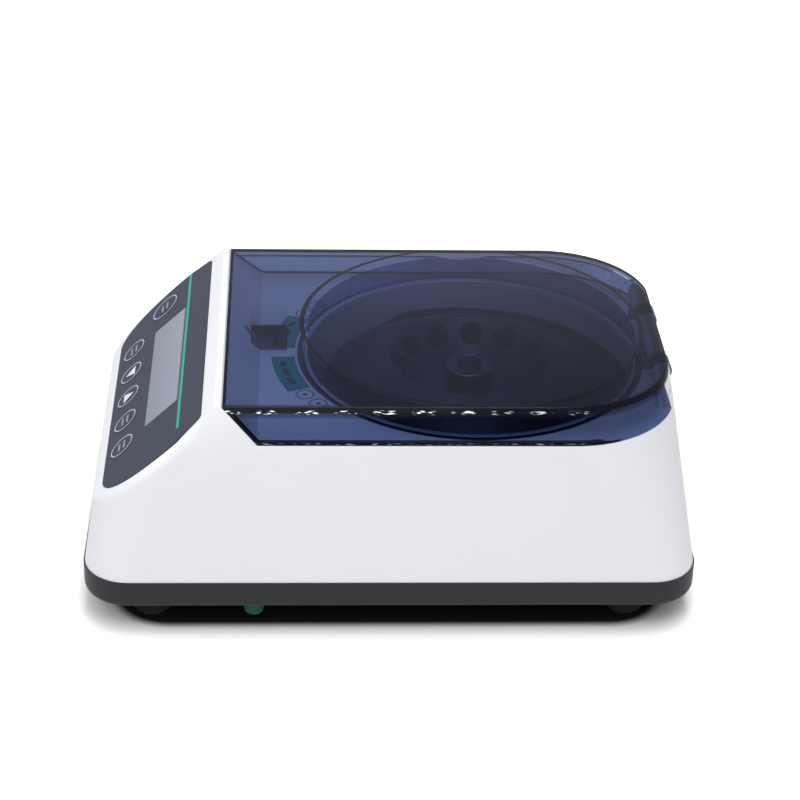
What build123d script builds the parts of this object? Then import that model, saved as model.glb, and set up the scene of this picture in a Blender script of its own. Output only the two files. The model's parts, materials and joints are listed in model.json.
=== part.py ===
from build123d import *
import os
from math import atan2, cos, degrees, radians, sin, tan

# Mini centrifuge. X is the width (the user's right is +X), Y the depth (the control panel is at -Y and
# the lid hinge at +Y), Z is up from the table. All sizes are in millimetres and degrees.

# Base tray and feet
BASE_WIDTH = 178.0
BASE_DEPTH = 264.0
BASE_CORNER_R = 20.0
BASE_EDGE_R = 3.5
BASE_HEIGHT = 12.8
FOOT_HEIGHT = 13.5
FOOT_R = 9.0
FOOT_TOE_R = 6.0
FOOT_X = 68.0
FOOT_Y = 103.0
FOOT_SPIGOT_R = 3.0
WALL = 2.5
LIP_HEIGHT = 3.0
LIP_WALL = 1.5

# Body shell: three levels of its outline
SHELL_SET_BACK = 0.5
DECK_Z = 89.7
SIDE_DRAFT = 6.5
DECK_HALF_DEPTH = 122.2
DECK_FRONT_R = 32.0
DECK_REAR_R = 47.0
TOP_Z = 104.7
LID_SIDE_DRAFT = 6.6
TOP_HALF_DEPTH = 119.5
SLOPE_TOP_R = 4.0
SLOPE_FOOT_R = 5.0

# Control panel on the front slope
SLOPE_ANGLE = 43.3
PANEL_FOOT_Y = -124.0
PANEL_FOOT_Z = 57.9
PANEL_LENGTH = 60.0
PANEL_MARGIN = 3.4
PANEL_CORNER_R = 3.0
PANEL_RECESS = 0.5
PANEL_PROUD = 0.3
PANEL_GAP = 0.15
LINE_S = 46.1
LINE_WIDTH = 0.9
LINE_END_X = 67.5
WINDOW_X = -3.0
WINDOW_S = 34.4
WINDOW_WIDTH = 88.0
WINDOW_HEIGHT = 20.2
WINDOW_LEDGE = 1.2
KEY_R = 6.8
KEY_ROW_S = 11.1
KEY_PITCH = 21.9
KEY_ROW_X = -46.2
KEY_ROW_COUNT = 5
BIG_KEY_R = 8.0
BIG_KEY_X = -65.0
BIG_KEY_S = 30.0
KEY_PROUD = 0.2
KEY_SKIRT = 1.1
KEY_TRAVEL = 0.6
KEY_STEM_R = 2.0
KEY_STOP_GAP = 0.2

# Control board behind the slope
BOARD_DEPTH = 8.6
BOARD_THICK = 1.6
BOARD_FRONT_X = -72.0
BOARD_WIDTH = 131.0
BOARD_FOOT_S = 4.0
BOARD_LENGTH = 44.0
SWITCH_SIDE = 7.0
SWITCH_HEIGHT = 3.2
SWITCH_BORE_DEPTH = 1.6
STANDOFF_R = 3.0
STANDOFF_X = 56.5
STANDOFF_S = 7.0
MODULE_MARGIN = 3.5

# Lid and its ring
LID_FRONT_Y = -72.4
LID_SEAT_ANGLE = 44.4
LID_GAP = 0.3
LID_WALL = 2.6
LID_REAR_Y = 119.2
LID_WALL_END_X = 50.0
RING_R = 75.0
RING_WALL = 2.5
BOWL_Y = 36.4

# Hinge
HINGE_Y = 118.0
HINGE_Z = 96.2
HINGE_PIN_R = 1.5
KNUCKLE_R = 4.8
ARM_INNER_X = 19.0
ARM_WIDTH = 9.3
ARM_BARREL_R = 4.5
ARM_GAP = 0.8
ARM_FRONT_Y = 105.0
ARM_RIB_DROP = 5.0
KNUCKLE_END_X = 49.2
WASHER_R = 3.6
WASHER_THICK = 0.5

# Latch
LATCH_X = -11.8
LATCH_WIDTH = 20.5
LATCH_REAR_Y = -45.0
LATCH_DEPTH = 16.0
BOLT_R = 2.2
BOLT_Z = 94.2
BOLT_TRAVEL = 6.0
BOLT_CLEARANCE = 0.3
BOLT_TAB_BACK = 45.0
TAB_THICK = 2.0
PLUNGER_R = 2.8
PLUNGER_Z = 75.0
PLUNGER_BITE = 9.0
SOLENOID_FRONT_Y = -62.0
SOLENOID_LENGTH = 18.0
SOLENOID_SIDE = 16.0
SHAFT_Y = -68.0
SHAFT_DROP = 4.2
SHAFT_R = 1.5
FINGER_LENGTH = 18.0
FINGER_X = 1.5
FINGER_PIN_R = 1.0
FINGER_THICK = 2.0
PULL_ARM = 9.0
PULL_INSET = 13.0
PULL_R = 4.4
PULL_BOTTOM_Z = 3.4
PULL_STEM_R = 1.6
SHAFT_EAR_X = 8.0
SHAFT_EAR_THICK = 3.0

# Bowl, gasket and deck labels
BOWL_R = 73.3
BOWL_WALL = 2.0
BOWL_FLOOR_Z = 44.0
BOWL_FLOOR_R = 70.0
BOWL_FILLET = 9.0
BOWL_FLANGE_R = 79.5
BOWL_FLANGE_THICK = 1.8
BOWL_FLANGE_GAP = 0.2
DECK_HOLE_R = 77.0
GASKET_R = 76.6
GASKET_TOP_Z = 88.6
LABEL_GAP = 1.2
LABEL_WIDTH = 10.3
LABEL_START = 3.0
LABEL_SWEEP = 21.0
LABEL_THICK = 0.2

# Drive
SHAFT_DRIVE_R = 3.0
MOTOR_R = 28.0
MOTOR_WALL = 1.5
MOTOR_GAP = 1.5
MOTOR_PLATE_Z = 35.0
MOTOR_PLATE_SIDE = 80.0
MOTOR_PLATE_THICK = 2.0
MOUNT_PITCH = 64.0
MOUNT_HEIGHT = 8.0
MOUNT_R = 6.0
MOUNT_POST_R = 5.0
NECK_R = 10.0
NECK_TOP_Z = 46.0
NECK_GAP = 0.3
BEARING_R = 8.0
BEARING_HEIGHT = 5.0
COIL_R = 24.0
COIL_WIDTH = 6.0
COIL_HEIGHT = 9.0
MAGNET_GAP = 0.8
GROMMET_R = 13.0
RUN_CLEARANCE = 0.03

# Rotor
ROTOR_RIM_R = 65.0
ROTOR_RIM_Z = 76.0
ROTOR_SKIRT = 7.0
ROTOR_CROWN_R = 37.0
ROTOR_CROWN_Z = 89.0
ROTOR_CROWN_WIDTH = 1.5
ROTOR_FLOOR_Z = 74.0
ROTOR_BOTTOM_Z = 50.0
ROTOR_BOTTOM_R = 61.0
TUBE_COUNT = 12
TUBE_R = 5.5
TUBE_ANGLE = 45.0
TUBE_MOUTH_R = 31.0
TUBE_DEPTH = 34.5
TUBE_TIP_R = 1.5
TUBE_TIP_DEPTH = 4.0
TUBE_FIRST_ANGLE = 180.0 - 5.2
NUT_FLANGE_R = 10.6
NUT_FLANGE_Z = 84.0
NUT_TOP_R = 4.5
NUT_TOP_Z = 91.0

# Rear: power inlet, rocker switch and vents
INLET_X = -42.0
INLET_Z = 48.0
INLET_WIDTH = 27.0
INLET_HEIGHT = 20.0
INLET_DEPTH = 16.0
INLET_CAVITY_WIDTH = 23.0
INLET_CAVITY_HEIGHT = 16.0
INLET_CAVITY_DEPTH = 15.0
INLET_FLANGE = 3.0
INLET_FLANGE_THICK = 1.6
BLADE_WIDTH = 2.0
BLADE_HEIGHT = 4.0
BLADE_LENGTH = 8.0
BLADE_PITCH = 7.0
SWITCH_X = -8.0
SWITCH_DEPTH = 9.5
SWITCH_FLOOR = 1.5
ROCKER_WIDTH = 13.0
ROCKER_HEIGHT = 19.0
ROCKER_FRAME = 2.0
ROCKER_TILT = 8.0
ROCKER_GAP = 0.4
ROCKER_AXLE_DEPTH = 3.0
ROCKER_AXLE_R = 1.2
ROCKER_RISE = 1.2
VENT_COUNT = 8
VENT_FIRST_X = 12.0
VENT_PITCH = 5.5
VENT_WIDTH = 2.4
VENT_HEIGHT = 26.0
VENT_Z = 55.0
TRAY_VENT_COUNT = 7
TRAY_VENT_LENGTH = 34.0
TRAY_VENT_Y = -70.0

# Case screws and their posts
POST_FRONT_X = 78.0
POST_FRONT_Y = -88.0
POST_REAR_X = 72.0
POST_REAR_Y = 84.0
POST_R = 4.0
SCREW_R = 1.6
SCREW_HEAD_R = 3.0
SCREW_HEAD_THICK = 2.0
SCREW_BITE = 8.0
BOARD_SCREW_R = 1.2
BOARD_SCREW_HEAD_R = 2.2
BOARD_SCREW_HEAD_THICK = 1.4

# Power board
SUPPLY_WIDTH = 60.0
SUPPLY_DEPTH = 42.0
SUPPLY_Y = -60.0
SUPPLY_STAND = 5.0
SUPPLY_POST_R = 3.0
SUPPLY_POST_INSET = 4.0

# Worked out from the sizes above
TRAY_TOP_Z = FOOT_HEIGHT + BASE_HEIGHT
TRAY_FLOOR_Z = FOOT_HEIGHT + WALL
BASE_HALF_WIDTH = BASE_WIDTH / 2 - SHELL_SET_BACK
BASE_HALF_DEPTH = BASE_DEPTH / 2 - SHELL_SET_BACK
DECK_HALF_WIDTH = max(BASE_HALF_WIDTH - SIDE_DRAFT, BOWL_FLANGE_R + WALL)
TOP_HALF_WIDTH = DECK_HALF_WIDTH - LID_SIDE_DRAFT
WALL_DRAFT = degrees(atan2(BASE_HALF_DEPTH - DECK_HALF_DEPTH, DECK_Z - TRAY_TOP_Z))
LABEL_INNER_R = DECK_HOLE_R + LABEL_GAP
LABEL_OUTER_R = LABEL_INNER_R + LABEL_WIDTH
LID_UNDER_Z = TOP_Z - LID_WALL
DECK_UNDER_Z = DECK_Z - WALL
FLANGE_TOP_Z = DECK_UNDER_Z - BOWL_FLANGE_GAP
SHAFT_Z = DECK_UNDER_Z - SHAFT_DROP
PULL_X = BASE_WIDTH / 2 - PULL_INSET
BOLT_TAB_Y = PANEL_FOOT_Y + BOLT_TAB_BACK
PLUNGER_END_Y = SOLENOID_FRONT_Y + PLUNGER_BITE
BIG = 400.0

os.makedirs("parts", exist_ok=True)


def blend(low, high, share):
    return low + (high - low) * share


def section(z, inset):
    """The body's outline at height z, moved in by inset."""
    if z <= DECK_Z:
        share = (z - TRAY_TOP_Z) / (DECK_Z - TRAY_TOP_Z)
        half_width = blend(BASE_HALF_WIDTH, DECK_HALF_WIDTH, share)
        half_depth = blend(BASE_HALF_DEPTH, DECK_HALF_DEPTH, share)
        front_r = blend(BASE_CORNER_R, DECK_FRONT_R, share)
        rear_r = blend(BASE_CORNER_R, DECK_REAR_R, share)
    else:
        share = (z - DECK_Z) / (TOP_Z - DECK_Z)
        half_width = blend(DECK_HALF_WIDTH, TOP_HALF_WIDTH, share)
        half_depth = blend(DECK_HALF_DEPTH, TOP_HALF_DEPTH, share)
        front_r = DECK_FRONT_R
        rear_r = DECK_REAR_R
    sketch = Plane.XY.offset(z) * Rectangle(2 * (half_width - inset), 2 * (half_depth - inset))
    sketch = fillet(sketch.vertices().group_by(Axis.Y)[0], front_r - inset)
    return fillet(sketch.vertices().group_by(Axis.Y)[-1], rear_r - inset)


def form(inset, low=TRAY_TOP_Z, high=TOP_Z):
    """The body's outer form between two heights, moved in by inset."""
    levels = [low] + [z for z in (DECK_Z,) if low < z < high] + [high]
    pieces = [
        loft([section(a, inset).face(), section(b, inset).face()], ruled=True)
        for a, b in zip(levels, levels[1:])
    ]
    whole = pieces[0]
    for piece in pieces[1:]:
        whole = whole + piece
    return whole


def line(normal_angle, y, z, inset):
    """A line in the YZ plane as (a, b, c) of a*y + b*z = c, with its outward normal, moved in by inset."""
    a = cos(radians(normal_angle))
    b = sin(radians(normal_angle))
    return a, b, a * y + b * z - inset


def meet(first, second):
    a, b, c = first
    d, e, f = second
    det = a * e - b * d
    return (c * e - b * f) / det, (a * f - c * d) / det


def slope_line(inset):
    return line(90 + SLOPE_ANGLE, PANEL_FOOT_Y, PANEL_FOOT_Z, inset)


def top_line(inset):
    return line(90, 0, TOP_Z, inset)


def seat_line(inset):
    return line(90 - LID_SEAT_ANGLE, LID_FRONT_Y, TOP_Z, inset)


def deck_line(inset):
    return line(90, 0, DECK_Z, inset)


def front_line():
    return line(180 - WALL_DRAFT, -BASE_HALF_DEPTH, TRAY_TOP_Z, 0)


def across(points, half_width=BIG / 2, x=0.0):
    """A prism along X from points given as (y, z)."""
    face = make_face(Polyline([Vector(x - half_width, y, z) for y, z in points], close=True))
    return extrude(face, amount=2 * half_width, dir=(1, 0, 0))


def side_profile(inset):
    """What lies under the slope, the top edge, the lid's seat and the deck."""
    before = meet(slope_line(inset), top_line(inset))
    behind = meet(top_line(inset), seat_line(inset))
    ridge = [before, behind] if before[0] < behind[0] else [meet(slope_line(inset), seat_line(inset))]
    points = [meet(slope_line(inset), line(0, -BIG / 2, 0, 0))] + ridge
    points += [meet(seat_line(inset), deck_line(inset)), (BIG / 2, DECK_Z - inset)]
    points += [(BIG / 2, -BIG), (-BIG / 2, -BIG)]
    return across(points)


SLOPE = Plane(
    origin=(0, PANEL_FOOT_Y, PANEL_FOOT_Z),
    x_dir=(1, 0, 0),
    z_dir=(0, -sin(radians(SLOPE_ANGLE)), cos(radians(SLOPE_ANGLE))),
)


SLOPE_UP = Axis(SLOPE.origin, SLOPE.y_dir)
SLOPE_OUT = Axis(SLOPE.origin, SLOPE.z_dir)


def on_slope(x, s, n=0.0):
    """A place on the front slope: x across, s up the slope from the panel's foot, n out of the surface."""
    return SLOPE * Pos(x, s, n)


def rod(radius, low, high, x=0.0, y=0.0):
    return Pos(x, y, (low + high) / 2) * Cylinder(radius, high - low)


def block(x0, x1, y0, y1, z0, z1):
    return Pos((x0 + x1) / 2, (y0 + y1) / 2, (z0 + z1) / 2) * Box(x1 - x0, y1 - y0, z1 - z0)


def rod_x(radius, x0, x1, y, z):
    return Pos((x0 + x1) / 2, y, z) * Rot(0, 90, 0) * Cylinder(radius, x1 - x0)


def rod_y(radius, y0, y1, x, z):
    return Pos(x, (y0 + y1) / 2, z) * Rot(90, 0, 0) * Cylinder(radius, y1 - y0)


def slope_rod(radius, x, s, n0, n1):
    return on_slope(x, s, (n0 + n1) / 2) * Cylinder(radius, n1 - n0)


def slope_block(x0, x1, s0, s1, n0, n1):
    return on_slope((x0 + x1) / 2, (s0 + s1) / 2, (n0 + n1) / 2) * Box(x1 - x0, s1 - s0, n1 - n0)


def group(solids):
    return Compound(children=[s.solid() if len(s.solids()) == 1 else s for s in solids])


def keep(shape, node):
    export_step(shape, f"parts/{node}.step")


def corners(x, y):
    return [(sx * x, sy * y) for sx in (-1, 1) for sy in (-1, 1)]


POSTS = [(sx * POST_FRONT_X, POST_FRONT_Y) for sx in (-1, 1)]
POSTS += [(sx * POST_REAR_X, POST_REAR_Y) for sx in (-1, 1)]
MOUNTS = [(x, BOWL_Y + y) for x, y in corners(MOUNT_PITCH / 2, MOUNT_PITCH / 2)]
MOUNT_POST_TOP = MOTOR_PLATE_Z - MOUNT_HEIGHT
KEYS = [("key_start", BIG_KEY_X, BIG_KEY_S, BIG_KEY_R)]
KEY_NAMES = ["key_mode", "key_down", "key_up", "key_menu", "key_pulse"]
KEYS += [(KEY_NAMES[i], KEY_ROW_X + i * KEY_PITCH, KEY_ROW_S, KEY_R) for i in range(KEY_ROW_COUNT)]
STANDOFFS = [(-STANDOFF_X, STANDOFF_S), (STANDOFF_X - MODULE_MARGIN, STANDOFF_S)]
STANDOFF_TOP_S = BOARD_FOOT_S + BOARD_LENGTH - STANDOFF_R
STANDOFFS += [(x, STANDOFF_TOP_S) for x in (-STANDOFF_X, STANDOFF_X - MODULE_MARGIN)]
SUPPLY_X = SUPPLY_WIDTH / 2 - SUPPLY_POST_INSET
SUPPLY_POSTS = [(x, SUPPLY_Y + y) for x, y in corners(SUPPLY_X, SUPPLY_DEPTH / 2 - SUPPLY_POST_INSET)]
REAR_SHARE = (INLET_Z - TRAY_TOP_Z) / (DECK_Z - TRAY_TOP_Z)
REAR_Y = blend(BASE_HALF_DEPTH, DECK_HALF_DEPTH, REAR_SHARE)
REAR = Plane(
    origin=(0, REAR_Y, INLET_Z),
    x_dir=(-1, 0, 0),
    z_dir=(0, cos(radians(WALL_DRAFT)), sin(radians(WALL_DRAFT))),
)


def on_rear(x, up=0.0, out=0.0):
    """A place on the rear wall: x as in the row, up the wall from the inlet's centre, out of the wall."""
    return REAR * Pos(-x, up, out)


def rear_block(x, width, up, height, out0, out1):
    return on_rear(x, up, (out0 + out1) / 2) * Box(width, height, out1 - out0)


def tray_outline(inset, z):
    radius = BASE_CORNER_R - inset
    return Plane.XY.offset(z) * RectangleRounded(BASE_WIDTH - 2 * inset, BASE_DEPTH - 2 * inset, radius)


def base_tray():
    outer = extrude(tray_outline(0, FOOT_HEIGHT), BASE_HEIGHT)
    outer = fillet(outer.faces().sort_by(Axis.Z)[0].edges(), BASE_EDGE_R)
    tray = outer - extrude(tray_outline(WALL, TRAY_FLOOR_Z), BASE_HEIGHT)
    lip_top = TRAY_TOP_Z + LIP_HEIGHT
    lip_drop = LIP_HEIGHT + WALL
    lip = extrude(section(lip_top, WALL + PANEL_GAP), -lip_drop)
    lip += extrude(tray_outline(WALL / 2, TRAY_TOP_Z), -WALL)
    tray += lip - extrude(section(lip_top, WALL + PANEL_GAP + LIP_WALL), -lip_drop)
    for x, y in POSTS:
        tray += rod(SCREW_HEAD_R + WALL, TRAY_FLOOR_Z - WALL, TRAY_TOP_Z, x, y) & outer
    for x, y in POSTS:
        tray -= rod(SCREW_HEAD_R + PANEL_GAP, FOOT_HEIGHT, FOOT_HEIGHT + SCREW_HEAD_THICK + PANEL_GAP, x, y)
        tray -= rod(SCREW_R + PANEL_GAP, FOOT_HEIGHT, TRAY_TOP_Z, x, y)
    for x, y in MOUNTS:
        tray += rod(MOUNT_POST_R, TRAY_FLOOR_Z, MOUNT_POST_TOP, x, y)
    for x, y in SUPPLY_POSTS:
        tray += rod(SUPPLY_POST_R, TRAY_FLOOR_Z, TRAY_FLOOR_Z + SUPPLY_STAND, x, y)
    for x, y in corners(FOOT_X, FOOT_Y):
        tray -= rod(FOOT_SPIGOT_R, FOOT_HEIGHT, TRAY_FLOOR_Z, x, y)
    tray -= rod(PULL_R + BOLT_CLEARANCE, FOOT_HEIGHT, TRAY_FLOOR_Z, PULL_X, PULL_Y)
    for i in range(TRAY_VENT_COUNT):
        x = (i - (TRAY_VENT_COUNT - 1) / 2) * VENT_PITCH
        slot = Plane.XY.offset(FOOT_HEIGHT) * Pos(x, BOWL_Y + TRAY_VENT_Y / 2) * SlotOverall(
            TRAY_VENT_LENGTH, VENT_WIDTH, rotation=90
        )
        tray -= extrude(slot, WALL)
    return tray


def foot(x, y):
    toe = FOOT_R - FOOT_TOE_R
    sketch = Plane.XZ * make_face(
        Polyline(
            [(0, 0), (FOOT_TOE_R, 0), (FOOT_R, toe), (FOOT_R, FOOT_HEIGHT), (0, FOOT_HEIGHT)],
            close=True,
        )
    )
    pad = revolve(sketch, Axis.Z)
    pad = fillet(pad.faces().sort_by(Axis.Z)[0].edges(), toe / 2)
    return Pos(x, y, 0) * (pad + rod(FOOT_SPIGOT_R - PANEL_GAP, FOOT_HEIGHT, TRAY_FLOOR_Z))


def case_screw(x, y):
    head = rod(SCREW_HEAD_R, FOOT_HEIGHT + PANEL_GAP, FOOT_HEIGHT + PANEL_GAP + SCREW_HEAD_THICK, x, y)
    screw = head + rod(SCREW_R, FOOT_HEIGHT + SCREW_HEAD_THICK, TRAY_TOP_Z + SCREW_BITE, x, y)
    slot = block(x - SCREW_HEAD_R, x + SCREW_HEAD_R, y - SCREW_R / 4, y + SCREW_R / 4, 0, FOOT_HEIGHT + 1)
    return screw - slot


def knuckle(x0, x1):
    """A hinge knuckle of the body: a barrel round the pin on a web that stands on the deck."""
    barrel = rod_x(KNUCKLE_R, x0, x1, HINGE_Y, HINGE_Z)
    web = block(x0, x1, HINGE_Y - KNUCKLE_R + 1, HINGE_Y + 2 * KNUCKLE_R, DECK_UNDER_Z, HINGE_Z)
    web += block(x0, x1, HINGE_Y, HINGE_Y + 2 * KNUCKLE_R, DECK_UNDER_Z, HINGE_Z + KNUCKLE_R / 2)
    return (barrel + web) & form(0, DECK_UNDER_Z, TOP_Z)


def knuckle_spans():
    arm_end = ARM_INNER_X + ARM_WIDTH
    inner = ARM_INNER_X - ARM_GAP
    return [(-KNUCKLE_END_X, -arm_end - ARM_GAP), (-inner, inner), (arm_end + ARM_GAP, KNUCKLE_END_X)]


def body_shell():
    outer = form(0) & side_profile(0)
    top_y, top_z = meet(slope_line(0), top_line(0))
    foot_y, foot_z = meet(slope_line(0), front_line())
    outer = fillet(outer.edges().sort_by_distance((0, top_y, top_z))[0], SLOPE_TOP_R)
    outer = fillet(outer.edges().sort_by_distance((0, foot_y, foot_z))[0], SLOPE_FOOT_R)
    inner = form(WALL, TRAY_TOP_Z - 1, TOP_Z - WALL) & side_profile(WALL)
    shell = outer - inner
    for x0, x1 in knuckle_spans():
        shell += knuckle(x0, x1)
    for x, y in POSTS:
        shell += rod(POST_R, TRAY_TOP_Z, TOP_Z, x, y) & (form(WALL / 2) & side_profile(WALL / 2))
    for x, s in STANDOFFS:
        shell += slope_rod(STANDOFF_R, x, s, -BOARD_DEPTH, -WALL / 2)
    for x in SHAFT_EAR_XS:
        ear = block(x, x + SHAFT_EAR_THICK, SHAFT_Y - 3 * SHAFT_R, SHAFT_Y + 3 * SHAFT_R,
                    SHAFT_Z - 3 * SHAFT_R, TOP_Z)
        shell += ear & (form(WALL / 2) & side_profile(WALL / 2))
    for x in LATCH_FRAME_XS:
        lug = block(x - WALL, x + WALL, SOLENOID_FRONT_Y, SOLENOID_FRONT_Y + SOLENOID_LENGTH,
                    LATCH_FRAME_Z, DECK_UNDER_Z + WALL / 2)
        shell += lug
    shell -= rod(DECK_HOLE_R, DECK_UNDER_Z - 1, DECK_Z + 1, 0, BOWL_Y)
    shell -= rod_x(HINGE_PIN_R + RUN_CLEARANCE, -KNUCKLE_END_X - 1, KNUCKLE_END_X - WALL, HINGE_Y, HINGE_Z)
    shell -= rod_y(BOLT_R + BOLT_CLEARANCE, LID_FRONT_Y, LATCH_REAR_Y, LATCH_X, BOLT_Z)
    shell -= rod_x(SHAFT_R + RUN_CLEARANCE, LATCH_X, PULL_X, SHAFT_Y, SHAFT_Z)
    shell -= panel_slab(-PANEL_RECESS, PANEL_PROUD + 1, 0)
    wide = WINDOW_WIDTH / 2 - WINDOW_LEDGE
    high = WINDOW_HEIGHT / 2 - WINDOW_LEDGE
    shell -= slope_block(WINDOW_X - wide, WINDOW_X + wide, WINDOW_S - high, WINDOW_S + high, -2 * WALL, 1)
    pocket = -KEY_SKIRT - KEY_TRAVEL - KEY_STOP_GAP
    for _, x, s, r in KEYS:
        shell -= slope_rod(r + PANEL_GAP, x, s, pocket, 1)
        shell -= slope_rod(KEY_STEM_R + PANEL_GAP, x, s, -2 * WALL, 1)
    for x, s in STANDOFFS:
        shell -= slope_rod(BOARD_SCREW_R, x, s, -BOARD_DEPTH - 1, -WALL)
    for x, y in POSTS:
        shell -= rod(SCREW_R, TRAY_TOP_Z - 1, TRAY_TOP_Z + SCREW_BITE + 1, x, y)
    shell -= rear_block(INLET_X, INLET_WIDTH, 0, INLET_HEIGHT, -2 * WALL, 1)
    hole_width = ROCKER_WIDTH + 2 * ROCKER_FRAME
    hole_height = ROCKER_HEIGHT + 2 * ROCKER_FRAME
    shell -= rear_block(SWITCH_X, hole_width, 0, hole_height, -2 * WALL, 1)
    for i in range(VENT_COUNT):
        x = VENT_FIRST_X + i * VENT_PITCH
        slot = on_rear(x, VENT_Z - INLET_Z, -2 * WALL) * SlotOverall(VENT_HEIGHT, VENT_WIDTH, rotation=90)
        shell -= extrude(slot, 4 * WALL, dir=REAR.z_dir)
    return shell


def panel_face(gap):
    """The overlay's outline, drawn on the slope."""
    face = SLOPE * Pos(0, PANEL_LENGTH / 2 - gap) * Rectangle(BASE_WIDTH, PANEL_LENGTH)
    face = (face & form(PANEL_MARGIN + gap)).face()
    upper = face.vertices().sort_by(SLOPE_UP)[-2:]
    return fillet(upper, PANEL_CORNER_R)


def panel_slab(n0, n1, gap):
    """The overlay's outline as a slab between two distances from the slope."""
    return extrude(Pos(*(SLOPE.z_dir * n0)) * panel_face(gap), n1 - n0, dir=SLOPE.z_dir)


def control_panel():
    panel = panel_slab(-PANEL_RECESS, PANEL_PROUD, PANEL_GAP)
    for _, x, s, r in KEYS:
        panel -= slope_rod(r + PANEL_GAP, x, s, -WALL, WALL)
    wide = WINDOW_WIDTH / 2
    high = WINDOW_HEIGHT / 2
    panel -= slope_block(WINDOW_X - wide, WINDOW_X + wide, WINDOW_S - high, WINDOW_S + high, -WALL, WALL)
    panel -= line_box(PANEL_PROUD / 2, WALL, 0)
    return panel


def line_box(n0, n1, gap):
    low = LINE_S - LINE_WIDTH / 2 + gap
    high = LINE_S + LINE_WIDTH / 2 - gap
    return slope_block(-BASE_WIDTH / 2, LINE_END_X, low, high, n0, n1) & form(PANEL_MARGIN + PANEL_GAP + gap)


def display_window():
    wide = WINDOW_WIDTH / 2 - PANEL_GAP / 2
    high = WINDOW_HEIGHT / 2 - PANEL_GAP / 2
    x0 = WINDOW_X - wide
    s0 = WINDOW_S - high
    return slope_block(x0, x0 + 2 * wide, s0, s0 + 2 * high, -PANEL_RECESS, PANEL_PROUD - PANEL_GAP)


def display_module():
    wide = WINDOW_WIDTH / 2 + MODULE_MARGIN
    high = WINDOW_HEIGHT / 2 + MODULE_MARGIN
    x0 = WINDOW_X - wide
    s0 = WINDOW_S - high
    return slope_block(x0, x0 + 2 * wide, s0, s0 + 2 * high, -BOARD_DEPTH, -WALL - PANEL_GAP)


def control_board():
    board = slope_block(
        BOARD_FRONT_X,
        BOARD_FRONT_X + BOARD_WIDTH,
        BOARD_FOOT_S,
        BOARD_FOOT_S + BOARD_LENGTH,
        -BOARD_DEPTH - BOARD_THICK,
        -BOARD_DEPTH,
    )
    for x, s in STANDOFFS:
        board -= slope_rod(BOARD_SCREW_R + PANEL_GAP, x, s, -2 * BOARD_DEPTH, 0)
    return board


def board_screw(x, s):
    low = -BOARD_DEPTH - BOARD_THICK
    head = slope_rod(BOARD_SCREW_HEAD_R, x, s, low - BOARD_SCREW_HEAD_THICK, low)
    return head + slope_rod(BOARD_SCREW_R - RUN_CLEARANCE, x, s, low, -BOARD_DEPTH + WALL)


def key_switch(x, s):
    top = -BOARD_DEPTH + SWITCH_HEIGHT
    half = SWITCH_SIDE / 2
    switch = slope_block(x - half, x + half, s - half, s + half, -BOARD_DEPTH, top)
    return switch - slope_rod(KEY_STEM_R + PANEL_GAP, x, s, top - SWITCH_BORE_DEPTH, top)


def key(x, s, r):
    cap = slope_rod(r, x, s, -KEY_SKIRT, PANEL_PROUD + KEY_PROUD)
    cap = fillet(cap.edges().filter_by(GeomType.CIRCLE).sort_by(SLOPE_OUT)[-1], KEY_PROUD)
    bottom = -BOARD_DEPTH + SWITCH_HEIGHT - SWITCH_BORE_DEPTH + KEY_TRAVEL + KEY_STOP_GAP
    return cap + slope_rod(KEY_STEM_R, x, s, bottom, -KEY_SKIRT)


def bowl():
    top = FLANGE_TOP_Z
    outer_top = BOWL_R + BOWL_WALL
    points = [
        (GROMMET_R - BOWL_WALL, BOWL_FLOOR_Z - BOWL_WALL),
        (BOWL_FLOOR_R + BOWL_WALL, BOWL_FLOOR_Z - BOWL_WALL),
        (outer_top, top - BOWL_FLANGE_THICK),
        (BOWL_FLANGE_R, top - BOWL_FLANGE_THICK),
        (BOWL_FLANGE_R, top),
        (BOWL_R, top),
        (BOWL_FLOOR_R, BOWL_FLOOR_Z),
        (GROMMET_R - BOWL_WALL, BOWL_FLOOR_Z),
    ]
    sketch = Plane.XZ * make_face(Polyline(points, close=True))
    inside = sketch.vertices().sort_by_distance((BOWL_FLOOR_R, 0, BOWL_FLOOR_Z))[0]
    sketch = fillet(inside, BOWL_FILLET)
    outside = sketch.vertices().sort_by_distance((BOWL_FLOOR_R + BOWL_WALL, 0, BOWL_FLOOR_Z - BOWL_WALL))[0]
    sketch = fillet(outside, BOWL_FILLET + BOWL_WALL)
    return Pos(0, BOWL_Y, 0) * revolve(sketch, Axis.Z)


def ring(outer, inner, low, high):
    return rod(outer, low, high, 0, BOWL_Y) - rod(inner, low - 1, high + 1, 0, BOWL_Y)


def gasket():
    seal = ring(GASKET_R, BOWL_R, FLANGE_TOP_Z, GASKET_TOP_Z)
    return fillet(seal.faces().sort_by(Axis.Z)[-1].edges(), (GASKET_TOP_Z - FLANGE_TOP_Z) / 4)


def deck_label(side):
    band = ring(LABEL_OUTER_R, LABEL_INNER_R, DECK_Z, DECK_Z + LABEL_THICK)
    start = radians(-90 + side * LABEL_START)
    end = radians(-90 + side * (LABEL_START + LABEL_SWEEP))
    reach = 2 * LABEL_OUTER_R
    wedge = make_face(
        Polyline(
            [
                (0, BOWL_Y, DECK_Z),
                (reach * cos(start), BOWL_Y + reach * sin(start), DECK_Z),
                (reach * cos(end), BOWL_Y + reach * sin(end), DECK_Z),
            ],
            close=True,
        )
    )
    return band & extrude(wedge, LABEL_THICK, dir=(0, 0, 1))


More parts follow.
